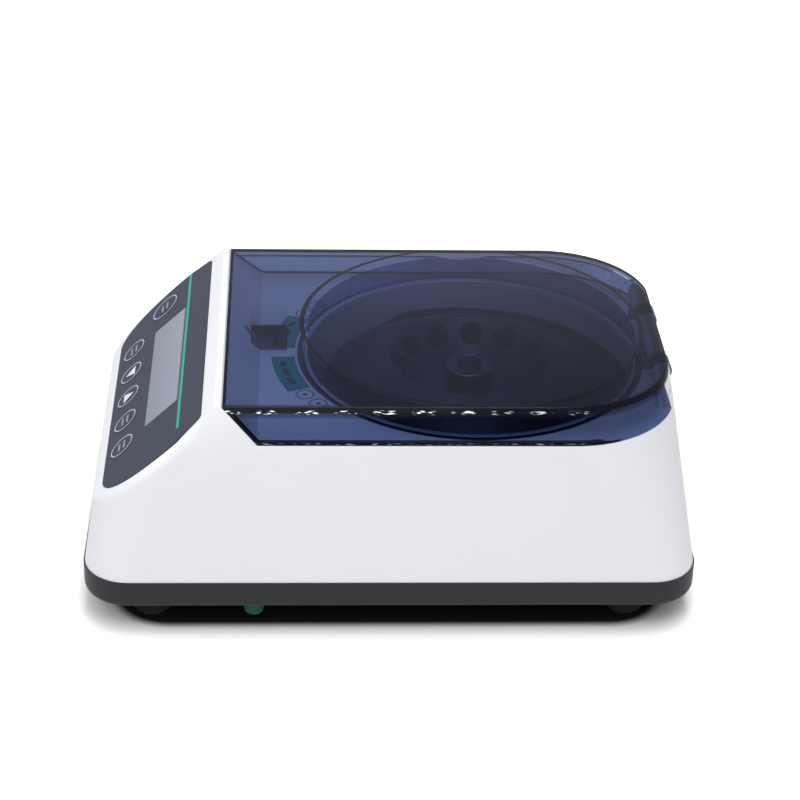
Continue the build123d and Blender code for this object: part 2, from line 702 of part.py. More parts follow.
def hinge_arm(x0):
    """One arm of the lid: a barrel on the hinge pin, joined to the top by a web and a rib."""
    x1 = x0 + ARM_WIDTH
    arm = rod_x(ARM_BARREL_R, x0, x1, HINGE_Y, HINGE_Z)
    arm += block(x0, x1, HINGE_Y - ARM_BARREL_R, LID_REAR_Y, HINGE_Z, LID_UNDER_Z + 1)
    arm += block(x0, x1, ARM_FRONT_Y, HINGE_Y, LID_UNDER_Z - ARM_RIB_DROP, LID_UNDER_Z + 1)
    arm -= rod(RING_R - RING_WALL, 0, LID_UNDER_Z, 0, BOWL_Y)
    return arm - rod_x(HINGE_PIN_R + 2 * RUN_CLEARANCE, x0 - 1, x1 + 1, HINGE_Y, HINGE_Z)


def lid_prism(inset, rear_y):
    """The lid's side profile: the seat line at the front, the top, the rear edge and the deck."""
    seat = seat_line(inset - LID_GAP)
    points = [
        meet(seat, top_line(0)),
        (rear_y, TOP_Z),
        (rear_y, DECK_Z - 1),
        meet(seat, line(90, 0, DECK_Z - 1, 0)),
    ]
    return across(points)


def lid_shell():
    outer = form(0, DECK_Z, TOP_Z) & lid_prism(0, LID_REAR_Y + 2 * WALL)
    outer -= block(-BIG / 2, BIG / 2, -BIG / 2, BIG / 2, 0, DECK_Z + LID_GAP)
    outer -= block(-LID_WALL_END_X, LID_WALL_END_X, LID_REAR_Y, BIG / 2, 0, TOP_Z + 1)
    hollow = form(LID_WALL, DECK_Z - 1, LID_UNDER_Z)
    lid = outer - hollow
    lid -= block(-LID_WALL_END_X, LID_WALL_END_X, RING_R, BIG / 2, 0, LID_UNDER_Z)
    lid += ring(RING_R, RING_R - RING_WALL, GASKET_TOP_Z + LID_GAP, LID_UNDER_Z + 1)
    for x0 in (-ARM_INNER_X - ARM_WIDTH, ARM_INNER_X):
        lid += hinge_arm(x0)
    return lid


def latch_block():
    front = LATCH_REAR_Y - LATCH_DEPTH
    x0 = LATCH_X - LATCH_WIDTH / 2
    piece = block(x0, x0 + LATCH_WIDTH, front, LATCH_REAR_Y, DECK_Z + LABEL_THICK + LID_GAP, LID_UNDER_Z)
    piece = piece & lid_prism(0, 0)
    depth = front + BOLT_TRAVEL + 3 * BOLT_R
    return piece - rod_y(BOLT_R + BOLT_CLEARANCE, front - 1, depth, LATCH_X, BOLT_Z)


LATCH_FRAME_Z = PLUNGER_Z + SOLENOID_SIDE / 2 + LIP_WALL
LATCH_FRAME_XS = (LATCH_X - SOLENOID_SIDE / 2 - WALL, LATCH_X + SOLENOID_SIDE / 2 + WALL)
FINGER_LEAN = BOLT_TRAVEL / FINGER_LENGTH / 2
FINGER_TIP_Z = SHAFT_Z - FINGER_LENGTH * cos(FINGER_LEAN)
FINGER_TIP_Y = SHAFT_Y - FINGER_LENGTH * sin(FINGER_LEAN)
FINGER_AT_X = LATCH_X + SOLENOID_SIDE / 2 + FINGER_X
SHAFT_EAR_XS = (FINGER_AT_X + FINGER_THICK, PULL_X - SHAFT_EAR_X)
ARM_LEAN = -FINGER_LEAN
TAB_TOP_Z = meet(slope_line(WALL + BOLT_CLEARANCE), line(0, BOLT_TAB_Y - TAB_THICK, 0, 0))[1]
PULL_Y = SHAFT_Y + PULL_ARM
PULL_PIN_Z = SHAFT_Z + PULL_ARM * sin(ARM_LEAN)
TAB_FOOT_Z = FINGER_TIP_Z - 3 * FINGER_PIN_R


def latch_bolt():
    """The bolt pin, its tab and the fork that the release shaft's finger moves."""
    pin = rod_y(BOLT_R, BOLT_TAB_Y, LATCH_REAR_Y, LATCH_X, BOLT_Z) & side_profile(BOLT_CLEARANCE)
    half = SOLENOID_SIDE / 2
    tab = block(LATCH_X - half / 2, LATCH_X + half / 2, BOLT_TAB_Y - TAB_THICK, BOLT_TAB_Y,
                TAB_FOOT_Z, TAB_TOP_Z)
    side = FINGER_AT_X + FINGER_THICK
    foot_arm = block(LATCH_X - half / 2, side, BOLT_TAB_Y - TAB_THICK, BOLT_TAB_Y,
                     TAB_FOOT_Z, FINGER_TIP_Z + 4 * FINGER_PIN_R)
    slot_half = FINGER_PIN_R + RUN_CLEARANCE * 5
    fork = block(FINGER_AT_X - FINGER_THICK, side, BOLT_TAB_Y - TAB_THICK,
                 FINGER_TIP_Y + slot_half + TAB_THICK, TAB_FOOT_Z, FINGER_TIP_Z + FINGER_PIN_R)
    fork -= block(FINGER_AT_X - 2 * FINGER_THICK, side + 1, FINGER_TIP_Y - slot_half,
                  FINGER_TIP_Y + slot_half, FINGER_TIP_Z - FINGER_PIN_R - 2 * BOLT_CLEARANCE, SHAFT_Z)
    return pin + tab + foot_arm + fork


def solenoid_plunger():
    return rod_y(PLUNGER_R, BOLT_TAB_Y, PLUNGER_END_Y, LATCH_X, PLUNGER_Z)


def lock_solenoid():
    half = SOLENOID_SIDE / 2
    coil = block(LATCH_X - half, LATCH_X + half, SOLENOID_FRONT_Y, SOLENOID_FRONT_Y + SOLENOID_LENGTH,
                 PLUNGER_Z - half, PLUNGER_Z + half)
    end = PLUNGER_END_Y + BOLT_TRAVEL + BOLT_CLEARANCE
    return coil - rod_y(PLUNGER_R + RUN_CLEARANCE, SOLENOID_FRONT_Y - 1, end, LATCH_X, PLUNGER_Z)


def latch_frame():
    half = SOLENOID_SIDE / 2
    rear = SOLENOID_FRONT_Y + SOLENOID_LENGTH
    x0, x1 = LATCH_FRAME_XS
    plate = block(x0 - WALL, x1 + WALL, SOLENOID_FRONT_Y, rear, LATCH_FRAME_Z - LIP_WALL, LATCH_FRAME_Z)
    for x in (LATCH_X - half - LIP_WALL, LATCH_X + half):
        plate += block(x, x + LIP_WALL, SOLENOID_FRONT_Y, rear, PLUNGER_Z - half / 2, LATCH_FRAME_Z)
    return plate


def release_shaft():
    """A cross shaft with a finger for the bolt's fork and an arm for the pull's pin."""
    shaft = rod_x(SHAFT_R, FINGER_AT_X - FINGER_THICK / 2, PULL_X - PULL_STEM_R - PANEL_GAP, SHAFT_Y, SHAFT_Z)
    finger = Pos(FINGER_AT_X, 0, -FINGER_LENGTH / 2) * Box(FINGER_THICK, 1.4 * FINGER_PIN_R, FINGER_LENGTH)
    half = FINGER_THICK / 2
    finger += rod_x(FINGER_PIN_R, FINGER_AT_X - half, FINGER_AT_X + half, 0, -FINGER_LENGTH)
    shaft += Pos(0, SHAFT_Y, SHAFT_Z) * Rot(degrees(-FINGER_LEAN), 0, 0) * finger
    arm_x1 = PULL_X - PULL_STEM_R - PANEL_GAP
    arm = Pos(arm_x1 - FINGER_THICK / 2, PULL_ARM / 2, 0) * Box(
        FINGER_THICK, PULL_ARM + 4 * FINGER_PIN_R, 4 * FINGER_PIN_R
    )
    slot = Pos(arm_x1, PULL_ARM, 0) * Box(
        4 * FINGER_THICK, 3 * FINGER_PIN_R, 2 * (FINGER_PIN_R + BOLT_CLEARANCE / 2)
    )
    shaft += Pos(0, SHAFT_Y, SHAFT_Z) * Rot(degrees(ARM_LEAN), 0, 0) * (arm - slot)
    return shaft


def release_pull():
    """The green grip under the tray, its stem and the pin that the shaft's arm lifts."""
    top = FOOT_HEIGHT - BOLT_CLEARANCE
    grip = rod(PULL_R, PULL_BOTTOM_Z, top, PULL_X, PULL_Y)
    grip = fillet(grip.faces().sort_by(Axis.Z)[0].edges(), PULL_R / 2)
    stem = rod(PULL_STEM_R, top, PULL_PIN_Z + 2 * FINGER_PIN_R, PULL_X, PULL_Y)
    return grip + stem


def pull_pin():
    x1 = PULL_X
    x0 = PULL_X - PULL_STEM_R - PANEL_GAP - FINGER_THICK - BOLT_CLEARANCE
    return rod_x(FINGER_PIN_R, x0, x1 - PULL_STEM_R / 2, PULL_Y, PULL_PIN_Z)


def motor_can():
    low = TRAY_FLOOR_Z + MOTOR_GAP
    can = rod(MOTOR_R, low, MOTOR_PLATE_Z, 0, BOWL_Y)
    can -= rod(MOTOR_R - MOTOR_WALL, low + MOTOR_WALL, MOTOR_PLATE_Z - MOTOR_WALL, 0, BOWL_Y)
    can += rod(BEARING_R + MOTOR_WALL, low, low + MOTOR_WALL + BEARING_HEIGHT, 0, BOWL_Y)
    can += rod(NECK_R, MOTOR_PLATE_Z - MOTOR_WALL, NECK_TOP_Z, 0, BOWL_Y)
    can -= rod(BEARING_R, low + MOTOR_WALL, low + MOTOR_WALL + BEARING_HEIGHT + 1, 0, BOWL_Y)
    can -= rod(BEARING_R, NECK_TOP_Z - BEARING_HEIGHT, NECK_TOP_Z + 1, 0, BOWL_Y)
    return can - rod(SHAFT_DRIVE_R + 1, low + MOTOR_WALL, NECK_TOP_Z, 0, BOWL_Y)


def bearing(low):
    race = ring(BEARING_R - RUN_CLEARANCE, SHAFT_DRIVE_R + RUN_CLEARANCE, low, low + BEARING_HEIGHT)
    return fillet(race.edges().filter_by(GeomType.CIRCLE), RUN_CLEARANCE * 10)


COIL_LOW_Z = MOTOR_PLATE_Z - MOTOR_WALL - COIL_HEIGHT
LOWER_BEARING_Z = TRAY_FLOOR_Z + MOTOR_GAP + MOTOR_WALL


def motor_coils():
    outer = MOTOR_R - MOTOR_WALL - RUN_CLEARANCE
    high = COIL_LOW_Z + COIL_HEIGHT - MAGNET_GAP
    return ring(outer, COIL_R - COIL_WIDTH, COIL_LOW_Z, high)


def motor_magnet():
    outer = COIL_R - COIL_WIDTH - MAGNET_GAP
    low = LOWER_BEARING_Z + BEARING_HEIGHT + MAGNET_GAP
    return ring(outer, SHAFT_DRIVE_R + RUN_CLEARANCE, low, MOTOR_PLATE_Z - MOTOR_WALL - MAGNET_GAP)


def motor_plate():
    plate = Plane.XY.offset(MOTOR_PLATE_Z) * Pos(0, BOWL_Y) * RectangleRounded(
        MOTOR_PLATE_SIDE, MOTOR_PLATE_SIDE, MOUNT_R
    )
    plate = extrude(plate, MOTOR_PLATE_THICK)
    plate -= rod(NECK_R + NECK_GAP, MOTOR_PLATE_Z - 1, NECK_TOP_Z, 0, BOWL_Y)
    for x, y in MOUNTS:
        plate -= rod(SCREW_R + PANEL_GAP, MOTOR_PLATE_Z - 1, NECK_TOP_Z, x, y)
    return plate


def motor_mount(x, y):
    mount = rod(MOUNT_R, MOUNT_POST_TOP, MOTOR_PLATE_Z, x, y)
    middle = (MOUNT_POST_TOP + MOTOR_PLATE_Z) / 2
    groove = rod(MOUNT_R + 1, middle - 1, middle + 1, x, y) - rod(MOUNT_R - 1, middle - 1, middle + 1, x, y)
    return mount - groove - rod(SCREW_R, middle, MOTOR_PLATE_Z, x, y)


def mount_screw(x, y):
    low = MOTOR_PLATE_Z + MOTOR_PLATE_THICK
    head = rod(SCREW_HEAD_R, low, low + SCREW_HEAD_THICK, x, y)
    return head + rod(SCREW_R - RUN_CLEARANCE, MOTOR_PLATE_Z - MOUNT_HEIGHT / 2 + 1, low, x, y)


def shaft_grommet():
    middle = BOWL_FLOOR_Z - BOWL_WALL / 2
    seal = ring(GROMMET_R, NECK_R + NECK_GAP / 2, middle - BOWL_WALL, middle + BOWL_WALL)
    rim = ring(GROMMET_R + 1, GROMMET_R - BOWL_WALL, BOWL_FLOOR_Z - BOWL_WALL, BOWL_FLOOR_Z)
    return seal - rim


def drive_shaft():
    return rod(SHAFT_DRIVE_R, LOWER_BEARING_Z, ROTOR_FLOOR_Z + BEARING_HEIGHT, 0, BOWL_Y)


def rotor():
    crown_in = ROTOR_CROWN_R - ROTOR_CROWN_WIDTH / 2
    crown_out = ROTOR_CROWN_R + ROTOR_CROWN_WIDTH / 2
    funnel_foot = crown_in - (ROTOR_CROWN_Z - ROTOR_FLOOR_Z)
    skirt_z = ROTOR_RIM_Z - ROTOR_SKIRT
    points = [
        (0, ROTOR_BOTTOM_Z),
        (ROTOR_BOTTOM_R, ROTOR_BOTTOM_Z),
        (ROTOR_RIM_R, skirt_z),
        (ROTOR_RIM_R, ROTOR_RIM_Z),
        (crown_out, ROTOR_CROWN_Z),
        (crown_in, ROTOR_CROWN_Z),
        (funnel_foot, ROTOR_FLOOR_Z),
        (0, ROTOR_FLOOR_Z),
    ]
    sketch = Plane.XZ * make_face(Polyline(points, close=True))
    for radius, z, size in ((ROTOR_RIM_R, ROTOR_RIM_Z, 2.0), (ROTOR_BOTTOM_R, ROTOR_BOTTOM_Z, 3.0)):
        sketch = fillet(sketch.vertices().sort_by_distance((radius, 0, z))[0], size)
    body = revolve(sketch, Axis.Z)
    mouth_z = ROTOR_FLOOR_Z + TUBE_MOUTH_R - funnel_foot
    tube = Pos(0, 0, -TUBE_DEPTH / 2 + TUBE_R) * Cylinder(TUBE_R, TUBE_DEPTH + 2 * TUBE_R)
    tube += Pos(0, 0, -TUBE_DEPTH - TUBE_TIP_DEPTH / 2) * Cone(TUBE_TIP_R, TUBE_R, TUBE_TIP_DEPTH)
    for i in range(TUBE_COUNT):
        turn = TUBE_FIRST_ANGLE + i * 360 / TUBE_COUNT
        body -= Rot(0, 0, turn) * Pos(TUBE_MOUTH_R, 0, mouth_z) * Rot(0, -TUBE_ANGLE, 0) * tube
    body -= rod(SHAFT_DRIVE_R + RUN_CLEARANCE, 0, ROTOR_CROWN_Z)
    return Pos(0, BOWL_Y, 0) * body


def rotor_nut():
    points = [
        (0, ROTOR_FLOOR_Z),
        (NUT_FLANGE_R, ROTOR_FLOOR_Z),
        (NUT_FLANGE_R, NUT_FLANGE_Z),
        (NUT_TOP_R + 1, NUT_FLANGE_Z),
        (NUT_TOP_R, NUT_TOP_Z),
        (0, NUT_TOP_Z),
    ]
    nut = revolve(Plane.XZ * make_face(Polyline(points, close=True)), Axis.Z)
    for z in (NUT_FLANGE_Z, NUT_TOP_Z):
        edge = [e for e in nut.edges().filter_by(GeomType.CIRCLE) if abs(e.center().Z - z) < 0.01]
        nut = fillet([max(edge, key=lambda e: e.radius)], 1.0)
    nut -= rod(SHAFT_DRIVE_R + RUN_CLEARANCE, 0, ROTOR_FLOOR_Z + BEARING_HEIGHT + RUN_CLEARANCE)
    return Pos(0, BOWL_Y, 0) * nut


def hinge_washers():
    arm_end = ARM_INNER_X + ARM_WIDTH
    mid = (ARM_GAP - WASHER_THICK) / 2
    starts = [arm_end + mid, ARM_INNER_X - ARM_GAP + mid]
    starts += [-x - WASHER_THICK for x in starts]
    rings = []
    for x in starts:
        washer = rod_x(WASHER_R, x, x + WASHER_THICK, HINGE_Y, HINGE_Z)
        rings.append(washer - rod_x(HINGE_PIN_R + RUN_CLEARANCE, x - 1, x + 1, HINGE_Y, HINGE_Z))
    return group(rings)


def power_inlet():
    inlet = rear_block(INLET_X, INLET_WIDTH - 2 * PANEL_GAP, 0, INLET_HEIGHT - 2 * PANEL_GAP, -INLET_DEPTH, 0)
    wide = INLET_WIDTH + 2 * INLET_FLANGE
    high = INLET_HEIGHT + 2 * INLET_FLANGE
    flange = rear_block(INLET_X, wide, 0, high, 0, INLET_FLANGE_THICK)
    flange = fillet(flange.edges().filter_by(Axis((0, 0, 0), tuple(REAR.z_dir))), INLET_FLANGE)
    inlet += flange
    mouth = INLET_FLANGE_THICK - INLET_CAVITY_DEPTH
    cavity = rear_block(INLET_X, INLET_CAVITY_WIDTH, 0, INLET_CAVITY_HEIGHT, mouth, INLET_FLANGE_THICK)
    upright = cavity.edges().filter_by(Axis((0, 0, 0), tuple(REAR.z_dir)))
    cavity = chamfer(upright.sort_by(Axis.Z)[-2:], INLET_CAVITY_HEIGHT / 4)
    return inlet - cavity


def inlet_blades():
    base = INLET_FLANGE_THICK - INLET_CAVITY_DEPTH
    blades = []
    for x, up in ((-BLADE_PITCH, -1), (0, 1), (BLADE_PITCH, -1)):
        middle = up * BLADE_HEIGHT / 2
        blades.append(rear_block(INLET_X + x, BLADE_WIDTH, middle, BLADE_HEIGHT, base, base + BLADE_LENGTH))
    return group(blades)


def switch_frame():
    wide = ROCKER_WIDTH + 2 * ROCKER_FRAME - 2 * PANEL_GAP
    high = ROCKER_HEIGHT + 2 * ROCKER_FRAME - 2 * PANEL_GAP
    frame = rear_block(SWITCH_X, wide, 0, high, -SWITCH_DEPTH, 0)
    frame += rear_block(SWITCH_X, wide + 2, 0, high + 2, 0, INLET_FLANGE_THICK)
    well_wide = ROCKER_WIDTH + 2 * ROCKER_GAP
    well_high = ROCKER_HEIGHT + 2 * ROCKER_GAP
    frame -= rear_block(SWITCH_X, well_wide, 0, well_high, SWITCH_FLOOR - SWITCH_DEPTH, INLET_FLANGE_THICK)
    return frame - rocker_rod(ROCKER_AXLE_R + RUN_CLEARANCE, well_wide + ROCKER_FRAME)


def rocker_rod(radius, width):
    """A cylinder about the rocker's axle."""
    return on_rear(SWITCH_X, 0, -ROCKER_AXLE_DEPTH) * Rot(0, 90, 0) * Cylinder(radius, width)


def switch_rocker():
    """A rocker on its axle, pressed in at its lower end."""
    half = ROCKER_HEIGHT / 2
    tip = ROCKER_RISE + half * tan(radians(ROCKER_TILT))
    back = -ROCKER_AXLE_DEPTH - 2 * ROCKER_AXLE_R
    points = [(-half, back), (-half, tip), (0, ROCKER_RISE), (half, tip), (half, back)]
    side = Plane(origin=on_rear(SWITCH_X).position, x_dir=REAR.y_dir, z_dir=(-1, 0, 0))
    wedge = extrude(side * make_face(Polyline(points, close=True)), ROCKER_WIDTH / 2, both=True)
    rocker = wedge & rocker_rod(half, ROCKER_WIDTH)
    rocker += rocker_rod(ROCKER_AXLE_R, ROCKER_WIDTH + 2 * ROCKER_GAP + ROCKER_FRAME / 2)
    axle = Axis(on_rear(SWITCH_X, 0, -ROCKER_AXLE_DEPTH).position, (1, 0, 0))
    return rocker.rotate(axle, -ROCKER_TILT)


def power_board():
    low = TRAY_FLOOR_Z + SUPPLY_STAND
    half = SUPPLY_DEPTH / 2
    wide = SUPPLY_WIDTH / 2
    board = block(-wide, wide, SUPPLY_Y - half, SUPPLY_Y + half, low, low + BOARD_THICK)
    parts = [board]
    for x, y, side, height in ((-16, -8, 14, 12), (4, 8, 18, 15), (20, -10, 10, 9)):
        parts.append(block(x - side / 2, x + side / 2, SUPPLY_Y + y - side / 2, SUPPLY_Y + y + side / 2,
                           low + BOARD_THICK, low + BOARD_THICK + height))
    whole = parts[0]
    for piece in parts[1:]:
        whole += piece
    return whole


keep(base_tray(), "base_tray")
keep(group([foot(x, y) for x, y in corners(FOOT_X, FOOT_Y)]), "rubber_feet")
keep(group([case_screw(x, y) for x, y in POSTS]), "case_screws")
keep(body_shell(), "body_shell")
keep(control_panel(), "control_panel")
keep(line_box(PANEL_PROUD / 2, PANEL_PROUD, RUN_CLEARANCE), "accent_line")
keep(display_window(), "display_window")
keep(display_module(), "display_module")
keep(control_board(), "control_board")
keep(group([board_screw(x, s) for x, s in STANDOFFS]), "board_screws")
keep(group([key_switch(x, s) for _, x, s, _ in KEYS]), "key_switches")
for key_name, key_x, key_s, key_r in KEYS:
    keep(key(key_x, key_s, key_r), key_name)
keep(bowl(), "bowl")
keep(gasket(), "bowl_gasket")
keep(group([deck_label(side) for side in (-1, 1)]), "deck_labels")
keep(lid_shell(), "lid_shell")
keep(latch_block(), "latch_block")
keep(rod_x(HINGE_PIN_R, -KNUCKLE_END_X, KNUCKLE_END_X - WALL - PANEL_GAP, HINGE_Y, HINGE_Z), "hinge_pin")
keep(hinge_washers(), "hinge_washers")
keep(latch_bolt(), "latch_bolt")
keep(solenoid_plunger(), "solenoid_plunger")
keep(lock_solenoid(), "lock_solenoid")
keep(latch_frame(), "latch_frame")
keep(release_shaft(), "release_shaft")
keep(release_pull() + pull_pin(), "release_pull")
keep(motor_can(), "motor_can")
keep(motor_coils(), "motor_coils")
keep(motor_magnet(), "motor_magnet")
keep(group([bearing(LOWER_BEARING_Z), bearing(NECK_TOP_Z - BEARING_HEIGHT)]), "motor_bearings")
keep(motor_plate(), "motor_plate")
keep(group([motor_mount(x, y) for x, y in MOUNTS]), "motor_mounts")
keep(group([mount_screw(x, y) for x, y in MOUNTS]), "mount_screws")
keep(shaft_grommet(), "shaft_grommet")
keep(drive_shaft(), "drive_shaft")
keep(rotor(), "rotor")
keep(rotor_nut(), "rotor_nut")
keep(power_inlet(), "power_inlet")
keep(inlet_blades(), "inlet_blades")
keep(switch_frame(), "switch_frame")
keep(switch_rocker(), "switch_rocker")
keep(power_board(), "power_board")
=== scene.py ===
import json
from math import cos, pi, radians, sin

import bmesh
import bpy
from mathutils import Matrix, Vector


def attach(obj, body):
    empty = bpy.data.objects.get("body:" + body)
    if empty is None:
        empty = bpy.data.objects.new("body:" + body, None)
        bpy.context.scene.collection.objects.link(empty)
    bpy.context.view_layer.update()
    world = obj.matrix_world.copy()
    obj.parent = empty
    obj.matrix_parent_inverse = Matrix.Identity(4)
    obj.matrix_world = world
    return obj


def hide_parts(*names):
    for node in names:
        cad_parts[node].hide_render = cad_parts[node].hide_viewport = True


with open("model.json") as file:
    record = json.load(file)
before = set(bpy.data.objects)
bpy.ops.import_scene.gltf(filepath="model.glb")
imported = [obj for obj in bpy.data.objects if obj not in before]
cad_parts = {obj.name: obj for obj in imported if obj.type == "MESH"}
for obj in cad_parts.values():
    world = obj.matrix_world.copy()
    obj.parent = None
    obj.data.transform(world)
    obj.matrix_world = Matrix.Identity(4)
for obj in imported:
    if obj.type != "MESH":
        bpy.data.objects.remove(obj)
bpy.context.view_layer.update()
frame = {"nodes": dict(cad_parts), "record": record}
MM = 0.001

# Camera: the photograph looks at the user's right side from slightly above

PHOTO_PX = 800
FOCAL_PX = 2252.4
SENSOR_MM = 36.0
CAMERA_AT = Vector((0.8834, -0.0430, 0.5628))
CAMERA_YAW = 0.0552
CAMERA_PITCH = 0.5120
CAMERA_ROLL = 0.0295


def place_camera():
    ahead = cos(CAMERA_PITCH)
    forward = Vector((-cos(CAMERA_YAW) * ahead, sin(CAMERA_YAW) * ahead, -sin(CAMERA_PITCH)))
    level = Vector((sin(CAMERA_YAW), cos(CAMERA_YAW), 0.0))
    upward = level.cross(forward)
    right = cos(CAMERA_ROLL) * level + sin(CAMERA_ROLL) * upward
    top = -sin(CAMERA_ROLL) * level + cos(CAMERA_ROLL) * upward
    lens = bpy.data.cameras.new("photo_camera")
    lens.sensor_width = SENSOR_MM
    lens.lens = FOCAL_PX * SENSOR_MM / PHOTO_PX
    lens.clip_start = 0.01
    camera = bpy.data.objects.new("photo_camera", lens)
    turn = Matrix((right, top, -forward)).transposed().to_4x4()
    camera.matrix_world = Matrix.Translation(CAMERA_AT) @ turn
    bpy.context.scene.collection.objects.link(camera)
    bpy.context.scene.camera = camera


place_camera()


# Finishes: shader maths as expressions


class Signal:
    """A socket that takes part in sums, products and comparisons."""

    def __init__(self, finish, socket):
        self.finish = finish
        self.socket = socket

    def maths(self, operation, *values):
        return self.finish.add("ShaderNodeMath", {"operation": operation}, dict(enumerate(values)))

    def __add__(self, other):
        return self.maths("ADD", self, other)

    def __radd__(self, other):
        return self.maths("ADD", other, self)

    def __sub__(self, other):
        return self.maths("SUBTRACT", self, other)

    def __rsub__(self, other):
        return self.maths("SUBTRACT", other, self)

    def __mul__(self, other):
        return self.maths("MULTIPLY", self, other)

    def __rmul__(self, other):
        return self.maths("MULTIPLY", other, self)

    def __truediv__(self, other):
        return self.maths("DIVIDE", self, other)

    def __pow__(self, other):
        return self.maths("POWER", self, other)

    def __abs__(self):
        return self.maths("ABSOLUTE", self)

    def __neg__(self):
        return self.maths("MULTIPLY", self, -1.0)

    def sine(self):
        return self.maths("SINE", self)

    def fraction(self):
        return self.maths("FRACT", self)


class Finish:
    """One material, built from expressions on the piece's own coordinates in millimetres."""

    def __init__(self, name):
        self.material = bpy.data.materials.new(name)
        self.material.use_nodes = True
        self.nodes = self.material.node_tree.nodes
        self.nodes.clear()
        self.end = self.nodes.new("ShaderNodeOutputMaterial")
        place = self.add("ShaderNodeTexCoord", output="Object")
        self.place = self.add("ShaderNodeVectorMath", {"operation": "SCALE"}, {0: place, "Scale": 1000.0})
        self.x = self.add("ShaderNodeSeparateXYZ", {}, {0: self.place}, "X")
        self.y = self.add("ShaderNodeSeparateXYZ", {}, {0: self.place}, "Y")
        self.z = self.add("ShaderNodeSeparateXYZ", {}, {0: self.place}, "Z")

    def add(self, kind, settings=None, values=None, output=0):
        node = self.nodes.new(kind)
        for key, value in (settings or {}).items():
            setattr(node, key, value)
        for key, value in (values or {}).items():
            self.feed(node.inputs[key], value)
        return Signal(self, node.outputs[output])

    def feed(self, socket, value):
        if isinstance(value, Signal):
            self.material.node_tree.links.new(value.socket, socket)
        elif isinstance(value, tuple) and len(value) == 3 and socket.type == "RGBA":
            socket.default_value = (*value, 1.0)
        else:
            socket.default_value = value

    def noise(self, size_mm, detail=3.0, roughness=0.5, stretch=(1.0, 1.0, 1.0)):
        spread = tuple(s / size_mm for s in stretch)
        where = self.add("ShaderNodeVectorMath", {"operation": "MULTIPLY"}, {0: self.place, 1: spread})
        values = {"Vector": where, "Scale": 1.0, "Detail": detail, "Roughness": roughness}
        return self.add("ShaderNodeTexNoise", {}, values, "Fac")

    def step(self, value, low, high):
        """0 below low and 1 above high, smooth between."""
        settings = {"interpolation_type": "SMOOTHSTEP", "clamp": True}
        return self.add("ShaderNodeMapRange", settings, {"Value": value, "From Min": low, "From Max": high})

    def smaller(self, first, second):
        return first.maths("MINIMUM", first, second)

    def larger(self, first, second):
        return first.maths("MAXIMUM", first, second)

    def any_of(self, masks):
        whole = masks[0]
        for mask in masks[1:]:
            whole = self.larger(whole, mask)
        return whole

    def radius(self, x, y):
        """Distance from an upright axis."""
        across = self.x - x
        along = self.y - y
        return (across * across + along * along) ** 0.5

    def mix(self, mask, tone_a, tone_b):
        values = {"Factor": mask, 6: tone_a, 7: tone_b}
        return self.add("ShaderNodeMix", {"data_type": "RGBA"}, values, 2)

    def vary(self, tone, amount, size_mm, detail=4.0):
        """A tone that drifts by a small share over the surface."""
        mask = self.noise(size_mm, detail)
        deeper = tuple(c * (1 - amount) for c in tone)
        paler = tuple(min(c * (1 + amount), 1.0) for c in tone)
        return self.mix(mask, deeper, paler)

    def bump(self, height, strength, distance_mm):
        values = {"Height": height, "Strength": strength, "Distance": distance_mm * MM}
        return self.add("ShaderNodeBump", {}, values, "Normal")

    def surface(self, **values):
        named = {key.replace("_", " "): value for key, value in values.items()}
        return self.add("ShaderNodeBsdfPrincipled", {}, named, "BSDF")

    def blend(self, mask, first, second):
        return self.add("ShaderNodeMixShader", {}, {0: mask, 1: first, 2: second}, "Shader")

    def done(self, shader):
        self.material.node_tree.links.new(shader.socket, self.end.inputs["Surface"])
        return self.material


def moulded(name, tone, rough, grain_mm, grain, spread=0.03, coat=0.0, sheen=0.5):
    """Moulded plastic: a faint spark-eroded grain, slow drift in tone and sheen."""
    f = Finish(name)
    fine = f.noise(grain_mm, 5.0, 0.6)
    slow = f.noise(38.0, 3.0)
    return f.done(f.surface(
        Base_Color=f.vary(tone, spread, 22.0),
        Roughness=rough + (slow - 0.5) * 0.10 + (fine - 0.5) * 0.06,
        Coat_Weight=coat,
        Specular_IOR_Level=sheen,
        Normal=f.bump(fine, grain, 0.05),
    ))


def turned(name, tone, rough, x, y):
    """Turned metal: fine rings round an upright axis."""
    f = Finish(name)
    rings = (f.radius(x, y) * 9.0 + f.noise(3.0) * 2.0).sine()
    return f.done(f.surface(
        Base_Color=f.vary(tone, 0.06, 14.0),
        Metallic=1.0,
        Roughness=rough + rings * 0.04 + (f.noise(9.0) - 0.5) * 0.08,
        Normal=f.bump(rings, 0.15, 0.02),
    ))


def plain_metal(name, tone, rough, along=(1.0, 1.0, 1.0)):
    f = Finish(name)
    scratches = f.noise(1.2, 6.0, 0.65, along)
    return f.done(f.surface(
        Base_Color=f.vary(tone, 0.08, 8.0),
        Metallic=1.0,
        Roughness=rough + (scratches - 0.5) * 0.18,
        Normal=f.bump(scratches, 0.12, 0.02),
    ))


SLOPE = radians(43.3)
SLOPE_Y = -124.0
SLOPE_Z = 57.9
BOWL_Y = 36.4
DECK_Z = 89.7


def up_slope(f):
    """How far up the control slope a point lies, in millimetres from the panel's foot."""
    return (f.y - SLOPE_Y) * cos(SLOPE) + (f.z - SLOPE_Z) * sin(SLOPE)


PANEL_TONE = (0.030, 0.038, 0.063)
PRINT_TONE = (0.70, 0.72, 0.80)
TEAL = (0.02, 0.33, 0.25)
LINE_TONE = (0.035, 0.36, 0.26)
PRINT_SHEEN = 0.12
LINE_UP = 46.1
LINE_HALF = 0.75
LINE_END_X = 67.5


